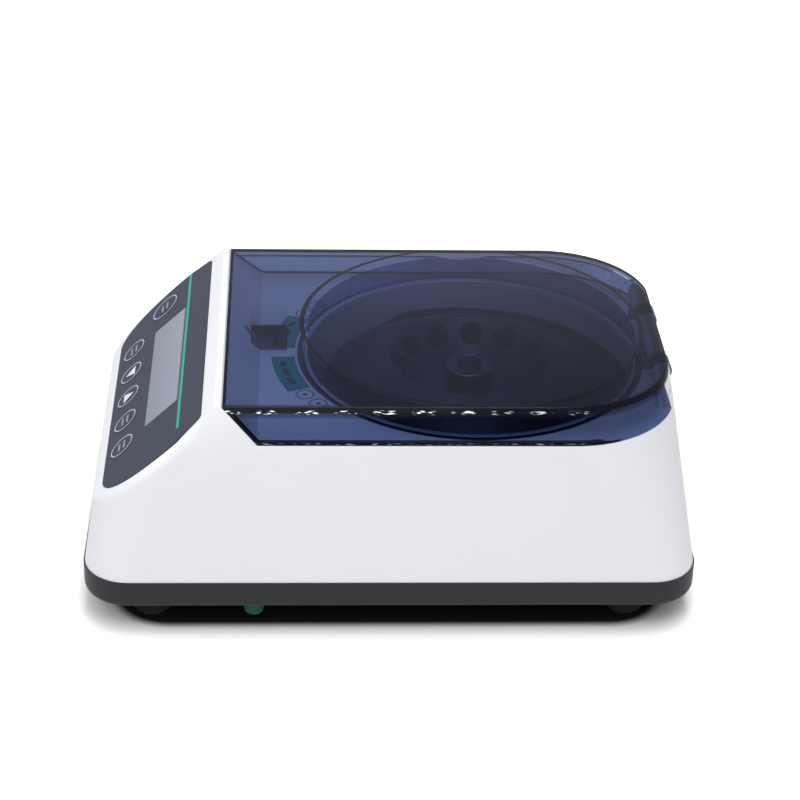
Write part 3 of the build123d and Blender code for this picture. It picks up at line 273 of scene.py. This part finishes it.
def overlay_finish():
    """Printed polyester overlay: fine matt grain, with the green line printed a little wide."""
    f = Finish("overlay_film")
    grain = f.noise(0.35, 3.0, 0.7)
    line = f.step(abs(up_slope(f) - LINE_UP), LINE_HALF + 0.1, LINE_HALF)
    line = line * f.step(f.x, LINE_END_X, LINE_END_X - 0.2)
    return f.done(f.surface(
        Base_Color=f.mix(line, f.vary(PANEL_TONE, 0.05, 30.0), LINE_TONE),
        Roughness=0.45 + (grain - 0.5) * 0.12,
        Specular_IOR_Level=PRINT_SHEEN,
        Normal=f.bump(grain, 0.10, 0.02),
    ))


def line_finish():
    f = Finish("printed_line")
    return f.done(f.surface(
        Base_Color=f.vary(LINE_TONE, 0.03, 12.0),
        Roughness=0.45 + (f.noise(0.35, 3.0, 0.7) - 0.5) * 0.12,
        Specular_IOR_Level=PRINT_SHEEN,
    ))


KEY_RING_INSET = 0.55
KEY_RING_SHARE = 0.62
ARROW_TIP = 3.7
ARROW_BASE = -2.7
ARROW_SPREAD = 0.60
BAR_HALF_LENGTH = 3.2
BAR_HALF_WIDTH = 0.75
BAR_OFF_MIDDLE = 1.5
BAR_SHARE = 0.33


def key_finish(name, x, s, r, mark):
    """A key cap of the overlay's colour with a printed ring and an arrow or two bars."""
    f = Finish(name)
    across = f.x - x
    up = up_slope(f) - s
    reach = (across * across + up * up) ** 0.5
    ring = f.step(abs(reach - (r - KEY_RING_INSET)), 0.42, 0.22) * KEY_RING_SHARE
    if mark == "up" or mark == "down":
        point = up if mark == "up" else -up
        half = (ARROW_TIP - point) * ARROW_SPREAD
        inside = f.step(half - abs(across), 0.0, 0.25) * f.step(point, ARROW_BASE, ARROW_BASE + 0.2)
        print_mask = f.larger(ring, inside)
    else:
        bar = f.step(BAR_HALF_LENGTH - abs(across), 0.0, 0.4)
        bar = bar * f.step(BAR_HALF_WIDTH - abs(abs(up) - BAR_OFF_MIDDLE), 0.0, 0.3)
        print_mask = f.larger(ring, bar * BAR_SHARE)
    grain = f.noise(0.35, 3.0, 0.7)
    return f.done(f.surface(
        Base_Color=f.mix(print_mask, PANEL_TONE, PRINT_TONE),
        Roughness=0.45 + (grain - 0.5) * 0.12,
        Specular_IOR_Level=PRINT_SHEEN,
        Normal=f.bump(grain, 0.10, 0.02),
    ))


WINDOW_X = -3.0
WINDOW_UP = 34.4
WINDOW_HALF_WIDTH = 44.0
WINDOW_HALF_HEIGHT = 10.1
PIXEL_TURN = 6.0


def screen_finish():
    """A pale reflective display behind its window: a cell border, a faint pixel weave, and painted light
    that brightens it towards its top.
    """
    f = Finish("display_glass")
    up = up_slope(f)
    weave = (up * PIXEL_TURN).sine() * (f.x * PIXEL_TURN).sine()
    edge = f.smaller(WINDOW_HALF_WIDTH - abs(f.x - WINDOW_X), WINDOW_HALF_HEIGHT - abs(up - WINDOW_UP))
    border = f.step(edge, 0.5, 1.1)
    # Painted light: the display brightens from its lower to its upper edge
    glow = f.step(up, 24.0, 45.0)
    lit = f.mix(glow, (0.20, 0.225, 0.30), (0.26, 0.285, 0.365))
    return f.done(f.surface(
        Base_Color=f.mix(border * (0.97 + weave * 0.03), (0.12, 0.13, 0.17), lit),
        Roughness=0.16 + f.noise(6.0) * 0.06,
        Coat_Weight=0.4,
    ))


SEAT = radians(90 - 44.4)
SEAT_Y = -72.4
LID_TOP_Z = 104.7
LID_UNDER_Z = 102.1
LID_FOOT_Z = 90.0
LID_HALF_WIDTH = 82.0
LID_HALF_DEPTH = 122.2
LID_LEAN = 0.44
LID_REAR_LEAN = 0.41
REAR_CORNER_R = 47.0
LID_TOP_ROUND = 2.0
GLINT_Z = 102.5
GLINT_FIRST_Y = -52.9
GLINT_PITCH = 16.2
RING_R = 75.0
RING_FOOT_Z = 88.9
GLASS_TONE = (0.532, 0.578, 0.700)
HAZE_TONE = (0.42, 0.43, 0.60)


def see_through(f, tone, haze, haze_tone):
    """Clear plastic: tinted light through it, a thin haze, and more sheen where it is seen edge on."""
    facing = f.add("ShaderNodeLayerWeight", {}, {"Blend": 0.5}, "Facing")
    clear = f.add("ShaderNodeBsdfTransparent", {}, {"Color": tone}, "BSDF")
    dust = f.surface(
        Base_Color=haze_tone,
        Roughness=0.06 + f.noise(60.0, 4.0) * 0.03,
    )
    return f.blend(facing ** 5.0 * 0.7 + haze, clear, dust)


def rim_depth(f):
    """How far inside the lid's outer side a point lies, at its own height, round the rear corners too."""
    lean = (f.z - LID_FOOT_Z) * LID_LEAN
    across = abs(f.x) - (LID_HALF_WIDTH - REAR_CORNER_R) + lean
    along = f.y - (LID_HALF_DEPTH - REAR_CORNER_R) + lean * LID_REAR_LEAN
    across = f.larger(across, 0.0)
    along = f.larger(along, 0.0)
    return REAR_CORNER_R - (across * across + along * along) ** 0.5


def glint_row(f, half_length):
    """Painted glints: clusters of small mirror patches, evenly spaced along the lid's side edges."""
    turn = (f.y - GLINT_FIRST_Y) / GLINT_PITCH + 0.5
    off = abs(turn.fraction() - 0.5) * GLINT_PITCH
    grain = f.noise(0.62, 1.0, 0.4, (0.6, 0.18, 1.0))
    return f.step(off, half_length, half_length - 2.8) * f.step(grain, 0.52, 0.64)


def tinted_finish():
    """Clear smoke-blue plastic. Long ways through it, at its cut ends and folds, look black. Painted shade
    darkens the strip under its top edge, the far wall and the top towards the rear; a painted highlight
    runs round the ring's foot, and painted glints sit along the near side's edges.
    """
    f = Finish("tinted_plastic")
    far = f.step(f.x, -60.0, -64.0)
    front = (f.y - SEAT_Y) * cos(SEAT) + (f.z - LID_TOP_Z) * sin(SEAT)
    far_wall = f.step(f.x, -72.0, -73.5) * f.step(f.z, LID_UNDER_Z + 1.0, LID_UNDER_Z)
    plate = f.step(f.z, LID_UNDER_Z - 0.4, LID_UNDER_Z - 0.1)
    cut_plate = f.step(front, 0.6, 0.3) * f.step(f.z, LID_TOP_Z - 1.9, LID_TOP_Z - 1.5)
    cut_wall = f.step(front, 1.5, 1.1) * (1.0 - plate)
    cut_front = f.larger(cut_wall, cut_plate) * (1.0 - far_wall * 0.7)
    outside = f.step(rim_depth(f), 2.0, 1.2)
    hem = f.step(f.z, LID_FOOT_Z + 1.1, LID_FOOT_Z + 0.7) * f.step(abs(f.x), 77.0, 78.0)
    hem = hem * (0.85 - far * 0.55)
    reach = f.radius(0.0, BOWL_Y)
    low = f.step(f.z, RING_FOOT_Z + 1.3, RING_FOOT_Z + 1.0)
    near_side = f.step(f.x, -12.0, 0.0)
    outer_half = f.step(reach, RING_R - 1.3, RING_R - 1.1) * f.step(reach, RING_R + 1.5, RING_R + 1.0)
    inner_half = f.step(reach, RING_R - 1.3, RING_R - 1.6)
    ring_foot = low * outer_half * near_side
    # Painted highlight: near-white round the ring's foot on its inside, and all round the far side
    ring_lip_highlight = low * f.larger(inner_half, 1.0 - near_side) * f.step(reach, RING_R + 1.5, RING_R + 1.0)
    ring_top = f.step(abs(reach - RING_R), 1.2, 0.85) * f.step(f.z, LID_TOP_Z - 0.1, LID_TOP_Z - 0.05)
    ring_lines = f.larger(ring_foot * 0.92, ring_top * 0.9)
    # Painted shade under the top edge, deeper and lower on the far side
    shaded = f.larger(
        f.step(f.z, LID_UNDER_Z - 2.6, LID_UNDER_Z - 0.4) * 0.6,
        f.step(f.z, LID_UNDER_Z - 3.6, LID_UNDER_Z - 2.4) * far * 0.8,
    )
    upward = f.step(f.z, LID_UNDER_Z - 0.3, LID_UNDER_Z - 0.1)
    # Painted shade deepening towards the rear of the top, and a darker share at the rear end between the
    # arms
    tail = f.step(f.y, 112.0, 116.0) * f.step(abs(f.x), 52.0, 48.0)
    depth = f.larger(f.step(f.y, 0.0, 110.0) * upward * 0.27, tail * 0.5)
    # far_wall adds painted shade on the far side wall
    dark = f.any_of([cut_front, hem, ring_lines, shaded * outside, depth, far_wall * 0.24])
    see = see_through(f, GLASS_TONE, upward * 0.006 + 0.002, HAZE_TONE)
    black = f.surface(Base_Color=(0.004, 0.004, 0.009), Roughness=0.12, Specular_IOR_Level=0.06)
    body = f.blend(dark * 0.96, see, black)
    # Near-white shader for the painted highlight on the ring's foot
    pale = f.surface(Base_Color=(0.90, 0.92, 1.0), Roughness=0.12)
    body = f.blend(ring_lip_highlight, body, pale)
    edge = f.step(f.z, LID_UNDER_Z, LID_UNDER_Z + 0.3) * f.step(f.z, LID_TOP_Z - 0.02, LID_TOP_Z - 0.15)
    body = f.blend(edge * outside * 0.97, body, black)
    # Painted glints along the near top edge, and fainter ones along the hem, on the near side only
    glints = glint_row(f, 5.4) * f.step(abs(f.z - GLINT_Z), 0.95, 0.25) * 0.8
    hem_glints = glint_row(f, 7.5) * f.step(abs(f.z - LID_FOOT_Z - 0.5), 0.45, 0.15) * 0.25
    glints = f.larger(glints, hem_glints) * outside * f.step(f.x, 70.0, 71.0) * f.step(f.y, 84.0, 76.0)
    glint_mirror = f.surface(Base_Color=(0.90, 0.92, 1.0), Metallic=1.0, Roughness=0.08)
    return f.done(f.blend(glints, body, glint_mirror))


def latch_finish():
    """The clear block under the lid, darker along its near top corner, with painted shade on its near face.
    """
    f = Finish("latch_plastic")
    near_top = f.step(f.z, LID_UNDER_Z - 2.6, LID_UNDER_Z - 2.2) * f.step(f.x, -2.6, -2.2)
    see = see_through(f, (0.86, 0.87, 0.90), 0.03, (0.30, 0.31, 0.40))
    # Painted shade on the block's near face
    near_face_shade = f.step(f.x, -2.0, -1.7) * 0.42
    dark = f.surface(Base_Color=(0.012, 0.010, 0.012), Roughness=0.2, Specular_IOR_Level=0.2)
    return f.done(f.blend(f.larger(near_top * 0.85, near_face_shade) + 0.03, see, dark))


def board_finish():
    f = Finish("circuit_board")
    tracks = f.noise(2.2, 2.0, 0.4, (1.0, 3.0, 1.0))
    copper = f.step(tracks, 0.56, 0.58)
    return f.done(f.surface(
        Base_Color=f.mix(copper, (0.01, 0.09, 0.04), (0.03, 0.16, 0.06)),
        Roughness=0.35 + copper * 0.1,
        Normal=f.bump(copper, 0.3, 0.03),
    ))


def winding_finish():
    f = Finish("enamelled_wire")
    turns = (f.z * 7.0).sine()
    return f.done(f.surface(
        Base_Color=f.mix(turns * 0.5 + 0.5, (0.32, 0.09, 0.03), (0.65, 0.25, 0.09)),
        Roughness=0.3 + turns * 0.05,
        Metallic=0.7,
        Normal=f.bump(turns, 0.5, 0.1),
    ))


def rubber_finish():
    f = Finish("black_rubber")
    bloom = f.noise(5.0, 5.0, 0.6)
    fine = f.noise(0.5, 4.0, 0.7)
    return f.done(f.surface(
        Base_Color=f.mix(bloom, (0.008, 0.008, 0.009), (0.022, 0.022, 0.024)),
        Roughness=0.72 + (bloom - 0.5) * 0.2,
        Specular_IOR_Level=0.15,
        Normal=f.bump(fine, 0.25, 0.06),
    ))


LABEL_MID_R = 83.8
LABEL_BARS = [(9.0, 13.5), (15.0, 22.0), (23.5, 29.5)]
DECK_ICONS = [(38.2, -37.2), (46.0, -31.7)]
ICON_R = 3.7
ICON_DOT_R = 1.15


def label_finish():
    """A printed arc with a row of plain dark bars along its middle."""
    f = Finish("label_film")
    reach = f.radius(0.0, BOWL_Y)
    side = abs(f.x)
    bars = []
    for start, end in LABEL_BARS:
        bars.append(f.step(side, start, start + 0.4) * f.step(side, end, end - 0.4))
    ink = f.any_of(bars) * f.step(abs(reach - LABEL_MID_R), 1.5, 1.2) * (0.6 + f.noise(1.3) * 0.6)
    return f.done(f.surface(
        Base_Color=f.mix(ink, TEAL, (0.012, 0.05, 0.045)),
        Roughness=0.32 + f.noise(2.0) * 0.1,
    ))


def shell_finish():
    """White moulded housing with two round symbols printed on each side of the deck."""
    f = Finish("white_moulding")
    fine = f.noise(0.55, 5.0, 0.6)
    slow = f.noise(38.0, 3.0)
    marks = []
    for x, y in DECK_ICONS:
        reach = ((abs(f.x) - x) ** 2.0 + (f.y - y) ** 2.0) ** 0.5
        marks.append(f.step(abs(reach - ICON_R), 0.7, 0.4) * (0.25 + f.noise(1.1) * 0.7))
        marks.append(f.step(reach, ICON_DOT_R, ICON_DOT_R - 0.25))
    ink = f.any_of(marks) * f.step(f.z, DECK_Z - 0.2, DECK_Z - 0.1)
    return f.done(f.surface(
        Base_Color=f.mix(ink, f.vary((0.80, 0.80, 0.825), 0.012, 22.0), (0.07, 0.075, 0.09)),
        Roughness=0.34 + (slow - 0.5) * 0.10 + (fine - 0.5) * 0.06,
        Coat_Weight=0.15,
        Normal=f.bump(fine, 0.10, 0.05),
    ))


BOWL_SHADE_Z = 75.6
BOWL_SHADE_DIP = 15.0


def bowl_finish():
    """Spun bowl: grey satin under its rim, and painted shade on the wall below, reaching lower at the
    front.
    """
    f = Finish("spun_bowl")
    reach = f.radius(0.0, BOWL_Y)
    rings = (f.z * 7.0 + f.noise(4.0) * 2.0).sine()
    # Painted shade: the wall turns dark below this height, which dips towards the front
    shade_edge_z = f.step(f.y, BOWL_Y - 66.0, BOWL_Y - 22.0) * BOWL_SHADE_DIP + (BOWL_SHADE_Z - BOWL_SHADE_DIP)
    above_shade = f.step(f.z - shade_edge_z, -0.8, 0.8)
    grey = f.vary((0.56, 0.58, 0.62), 0.05, 18.0)
    return f.done(f.surface(
        Base_Color=f.mix(above_shade, (0.030, 0.033, 0.040), grey),
        Metallic=above_shade * 0.25,
        Roughness=0.42 + rings * 0.03 + (reach - 60.0) * 0.0015,
        Normal=f.bump(rings, 0.12, 0.02),
    ))


def gasket_finish():
    """Silicone seal round the bowl: grey, with a painted highlight round its inner edge."""
    f = Finish("silicone_seal")
    # Painted highlight round the seal's inner edge
    lip_highlight = f.step(f.radius(0.0, BOWL_Y), 75.0, 74.2)
    return f.done(f.surface(
        Base_Color=f.mix(lip_highlight, (0.10, 0.11, 0.13), (0.85, 0.87, 0.95)),
        Roughness=0.5 + (f.noise(3.0) - 0.5) * 0.12,
    ))


finishes = {
    "body_white": shell_finish(),
    "tray_dark": moulded("grey_moulding", (0.024, 0.0255, 0.0275), 0.44, 0.45, 0.22, 0.08, sheen=0.22),
    "rubber_black": rubber_finish(),
    "panel_grey": overlay_finish(),
    "line_teal": label_finish(),
    "screen": screen_finish(),
    "lid_tint": tinted_finish(),
    "pull_green": moulded("pull_moulding", (0.010, 0.10, 0.066), 0.40, 0.5, 0.15, 0.08, sheen=0.3),
    "bowl_metal": plain_metal("cast_plate", (0.56, 0.58, 0.62), 0.42),
    "rotor_dark": moulded("rotor_moulding", (0.016, 0.018, 0.024), 0.36, 0.6, 0.10, 0.10, 0.1, 0.3),
    "nut_steel": turned("turned_nut", (0.10, 0.11, 0.13), 0.32, 0.0, BOWL_Y),
    "steel": plain_metal("drawn_steel", (0.55, 0.56, 0.58), 0.32, (3.0, 1.0, 1.0)),
    "coil_copper": winding_finish(),
    "board_green": board_finish(),
    "switch_black": moulded("switch_moulding", (0.012, 0.012, 0.014), 0.34, 0.5, 0.2, 0.1),
    "seal_silicone": gasket_finish(),
    "latch_clear": latch_finish(),
}

KEYS = {
    "key_start": (-65.0, 30.0, 8.0, "bar"),
    "key_mode": (-46.2, 11.1, 6.8, "bar"),
    "key_down": (-24.3, 11.1, 6.8, "down"),
    "key_up": (-2.4, 11.1, 6.8, "up"),
    "key_menu": (19.5, 11.1, 6.8, "bar"),
    "key_pulse": (41.4, 11.1, 6.8, "bar"),
}

slot_of = {part["node"]: part["material_slot"] for part in frame["record"]["subparts"]}
body_of = {}
for body, members in frame["record"]["behaviour"]["bodies"].items():
    for member in members:
        body_of[member] = body


own_finish = {"accent_line": line_finish(), "bowl": bowl_finish()}


def finish_for(node):
    if node in KEYS:
        return key_finish(node + "_print", *KEYS[node])
    if node in own_finish:
        return own_finish[node]
    return finishes[slot_of[node]]


# Pieces


def cad_copy(node):
    """The node's own shape with its doubles merged and its flat faces whole."""
    mesh = bmesh.new()
    mesh.from_mesh(frame["nodes"][node].data)
    bmesh.ops.remove_doubles(mesh, verts=mesh.verts, dist=0.000002)
    bmesh.ops.dissolve_limit(
        mesh, angle_limit=radians(0.4), verts=mesh.verts, edges=mesh.edges, use_dissolve_boundaries=False
    )
    return mesh


def shade(mesh, crease_deg):
    for face in mesh.faces:
        face.smooth = True
    for edge in mesh.edges:
        if len(edge.link_faces) == 2 and edge.calc_face_angle(0.0) > radians(crease_deg):
            edge.smooth = False


def settle(piece):
    """The piece's modifiers, worked into its mesh."""
    bpy.context.view_layer.update()
    seen = piece.evaluated_get(bpy.context.evaluated_depsgraph_get())
    done = bpy.data.meshes.new_from_object(seen)
    piece.modifiers.clear()
    old = piece.data
    piece.data = done
    bpy.data.meshes.remove(old)
    return piece


def round_top_edge(work):
    """The lid's outline at its top, rounded more than the other edges."""
    rim = []
    for edge in work.edges:
        ends = [v.co / MM for v in edge.verts]
        on_top = all(end.z > LID_TOP_Z - 0.05 for end in ends)
        sharp = len(edge.link_faces) == 2 and edge.calc_face_angle(0.0) > radians(30.0)
        if on_top and sharp:
            rim.append(edge)
    bmesh.ops.bevel(
        work, geom=rim, offset=LID_TOP_ROUND * MM, offset_type="OFFSET", segments=4,
        affect="EDGES", profile=0.5, clamp_overlap=True,
    )


def dressed(node, edge_mm, crease_deg=28.0, corner_deg=35.0):
    """The node with soft edges, smooth curves and its own finish."""
    work = cad_copy(node)
    if node == "lid_shell":
        round_top_edge(work)
    shade(work, crease_deg)
    mesh = bpy.data.meshes.new(node + "_shape")
    work.to_mesh(mesh)
    work.free()
    piece = bpy.data.objects.new(node + "_piece", mesh)
    bpy.context.scene.collection.objects.link(piece)
    mesh.materials.clear()
    mesh.materials.append(finish_for(node))
    if edge_mm:
        soft = piece.modifiers.new("soft_edges", "BEVEL")
        soft.width = edge_mm * MM
        soft.segments = 2
        soft.limit_method = "ANGLE"
        soft.angle_limit = radians(corner_deg)
        soft.use_clamp_overlap = True
        soft.harden_normals = True
        settle(piece)
    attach(piece, body_of[node])
    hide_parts(node)
    return piece


EDGES_MM = {
    "body_shell": 0.35,
    "base_tray": 0.3,
    "lid_shell": 0.4,
    "rubber_feet": 0.3,
    "latch_block": 0.4,
    "rotor": 0.35,
    "rotor_nut": 0.3,
    "bowl": 0.0,
    "bowl_gasket": 0.0,
    "control_panel": 0.0,
    "display_window": 0.05,
    "power_inlet": 0.3,
    "switch_frame": 0.25,
    "switch_rocker": 0.4,
    "release_pull": 0.25,
}
EDGES_MM.update({key: 0.0 for key in KEYS})

for node in frame["nodes"]:
    if node in EDGES_MM:
        dressed(node, EDGES_MM[node])
    else:
        cad = frame["nodes"][node]
        cad.data.materials.clear()
        cad.data.materials.append(finish_for(node))


# What repeats: the ribs that give the rotor nut its grip


class Tree:
    """A Geometry Nodes tree with named inputs, set on a piece by their identifiers."""

    def __init__(self, name, inputs):
        self.tree = bpy.data.node_groups.new(name, "GeometryNodeTree")
        sockets = self.tree.interface
        sockets.new_socket("Geometry", in_out="OUTPUT", socket_type="NodeSocketGeometry")
        self.values = inputs
        self.keys = {}
        for label, value in inputs.items():
            kind = "NodeSocketInt" if isinstance(value, int) else "NodeSocketFloat"
            self.keys[label] = sockets.new_socket(label, in_out="INPUT", socket_type=kind).identifier
        self.start = self.tree.nodes.new("NodeGroupInput")

    def given(self, label):
        return self.start.outputs[label]

    def add(self, kind, settings=None, values=None, output=0):
        node = self.tree.nodes.new(kind)
        for key, value in (settings or {}).items():
            setattr(node, key, value)
        for key, value in (values or {}).items():
            if isinstance(value, bpy.types.NodeSocket):
                self.tree.links.new(value, node.inputs[key])
            else:
                node.inputs[key].default_value = value
        return node.outputs[output]

    def sums(self, operation, first, second):
        return self.add("ShaderNodeMath", {"operation": operation}, {0: first, 1: second})

    def made(self, name, shape, material):
        """The tree's shape as a plain mesh on a piece of its own."""
        whole = self.add("GeometryNodeRealizeInstances", {}, {0: shape})
        coated = self.add("GeometryNodeSetMaterial", {}, {"Geometry": whole, "Material": material})
        end = self.tree.nodes.new("NodeGroupOutput")
        self.tree.links.new(coated, end.inputs[0])
        piece = bpy.data.objects.new(name, bpy.data.meshes.new(name + "_seed"))
        bpy.context.scene.collection.objects.link(piece)
        grown = piece.modifiers.new(name + "_tree", "NODES")
        grown.node_group = self.tree
        for label, key in self.keys.items():
            grown[key] = self.values[label]
        settle(piece)
        piece.data.name = name + "_shape"
        for face in piece.data.polygons:
            face.use_smooth = True
        return piece


NUT_GRIP = {
    "Ribs": 18,
    "Reach": 4.85 * MM,
    "Rib radius": 0.42 * MM,
    "Rib height": 4.6 * MM,
    "Middle height": 87.4 * MM,
    "Axis depth": BOWL_Y * MM,
    "Taper": 0.142,
}


def nut_grip():
    """Upright ribs round the tapered knob of the rotor nut."""
    tree = Tree("ribs_round_knob", NUT_GRIP)
    ring = tree.add("GeometryNodeMeshCircle", {}, {
        "Vertices": tree.given("Ribs"),
        "Radius": tree.given("Reach"),
    })
    rib = tree.add("GeometryNodeMeshCylinder", {}, {
        "Vertices": 8,
        "Radius": tree.given("Rib radius"),
        "Depth": tree.given("Rib height"),
    })
    turn = tree.sums("DIVIDE", 2.0 * pi, tree.given("Ribs"))
    turn = tree.sums("MULTIPLY", turn, tree.add("GeometryNodeInputIndex"))
    lean = tree.sums("MULTIPLY", tree.given("Taper"), -1.0)
    facing = tree.add("ShaderNodeCombineXYZ", {}, {"Y": lean, "Z": turn})
    ribs = tree.add("GeometryNodeInstanceOnPoints", {}, {
        "Points": ring,
        "Instance": rib,
        "Rotation": facing,
    })
    place = tree.add("ShaderNodeCombineXYZ", {}, {
        "Y": tree.given("Axis depth"),
        "Z": tree.given("Middle height"),
    })
    ribs = tree.add("GeometryNodeTransform", {}, {"Geometry": ribs, "Translation": place})
    piece = tree.made("nut_grip_ribs", ribs, finishes["nut_steel"])
    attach(piece, body_of["rotor_nut"])


nut_grip()

# Studio: white floor and backdrop, soft light from above and from the camera's side


FLOOR_HALF_M = 4.0
FOOT_HALF_WIDTH = 80.0
FOOT_HALF_DEPTH = 119.0
FOOT_CORNER_R = 24.0


def backdrop_finish():
    """White paper, with a deep contact shadow under the object and plain white further out."""
    f = Finish("studio_white")
    seen = f.add("ShaderNodeLightPath", {}, {}, "Is Camera Ray")
    across = f.larger(abs(f.x) - (FOOT_HALF_WIDTH - FOOT_CORNER_R), 0.0)
    along = f.larger(abs(f.y) - (FOOT_HALF_DEPTH - FOOT_CORNER_R), 0.0)
    clear = (across * across + along * along) ** 0.5 - FOOT_CORNER_R
    shade_tone = f.mix(f.step(clear, -1.0, 5.0), (0.02, 0.02, 0.02), (1.0, 1.0, 1.0))
    paint = f.add("ShaderNodeBsdfDiffuse", {}, {"Color": (0.80, 0.80, 0.80)}, "BSDF")
    white = f.add("ShaderNodeBsdfDiffuse", {}, {"Color": shade_tone}, "BSDF")
    far = f.step(clear, 60.0, 300.0) * 0.4 + f.step(clear, 3.0, 28.0) * 0.25
    glow_tone = f.mix(seen * far, (0.0, 0.0, 0.0), (1.0, 1.0, 1.0))
    glow = f.add("ShaderNodeEmission", {}, {"Color": glow_tone}, "Emission")
    paper = f.blend(seen, paint, white)
    return f.done(f.add("ShaderNodeAddShader", {}, {0: paper, 1: glow}, "Shader"))


def build_floor():
    half = FLOOR_HALF_M
    corners = [(-half, -half, 0), (half, -half, 0), (half, half, 0), (-half, half, 0)]
    mesh = bpy.data.meshes.new("studio_floor")
    mesh.from_pydata(corners, [], [(0, 1, 2, 3)])
    floor = bpy.data.objects.new("studio_floor", mesh)
    mesh.materials.append(backdrop_finish())
    bpy.context.scene.collection.objects.link(floor)


def build_world():
    world = bpy.data.worlds.new("studio")
    bpy.context.scene.world = world
    world.use_nodes = True
    nodes = world.node_tree.nodes
    links = world.node_tree.links
    nodes.clear()
    end = nodes.new("ShaderNodeOutputWorld")
    dome = nodes.new("ShaderNodeBackground")
    seen = nodes.new("ShaderNodeBackground")
    dome.inputs["Color"].default_value = (0.93, 0.95, 1.0, 1.0)
    dome.inputs["Strength"].default_value = 0.36
    seen.inputs["Color"].default_value = (1.0, 1.0, 1.0, 1.0)
    path = nodes.new("ShaderNodeLightPath")
    either = nodes.new("ShaderNodeMath")
    either.operation = "MAXIMUM"
    through = nodes.new("ShaderNodeMath")
    through.operation = "MAXIMUM"
    links.new(path.outputs["Is Glossy Ray"], through.inputs[0])
    links.new(path.outputs["Is Transmission Ray"], through.inputs[1])
    links.new(path.outputs["Is Camera Ray"], either.inputs[0])
    links.new(through.outputs[0], either.inputs[1])
    mix = nodes.new("ShaderNodeMixShader")
    links.new(either.outputs[0], mix.inputs[0])
    links.new(dome.outputs[0], mix.inputs[1])
    links.new(seen.outputs[0], mix.inputs[2])
    links.new(mix.outputs[0], end.inputs["Surface"])


def lamp(name, at, aim, size, watts):
    """A soft rectangle of light, turned to its aim, or straight down where it has none."""
    light = bpy.data.lights.new(name, "AREA")
    light.shape = "RECTANGLE"
    light.size = size[0]
    light.size_y = size[1]
    light.energy = watts
    piece = bpy.data.objects.new(name, light)
    piece.location = at
    if aim is not None:
        piece.rotation_euler = (Vector(aim) - Vector(at)).to_track_quat("-Z", "Y").to_euler()
    bpy.context.scene.collection.objects.link(piece)


build_floor()
build_world()
lamp("overhead_softbox", (0.30, 0.06, 1.40), None, (1.6, 0.45), 15.4)
lamp("top_softbox", (-0.3, 0.0, 1.5), (0, 0, 0.05), (1.6, 1.6), 1.5)
lamp("camera_side_softbox", (1.2, -0.3, 1.3), (0, 0, 0.05), (1.2, 0.9), 7.4)
lamp("panel_side_softbox", (0.2, -1.6, 1.0), (0, 0, 0.05), (1.2, 0.8), 4.2)

bpy.context.scene.view_settings.view_transform = "Standard"
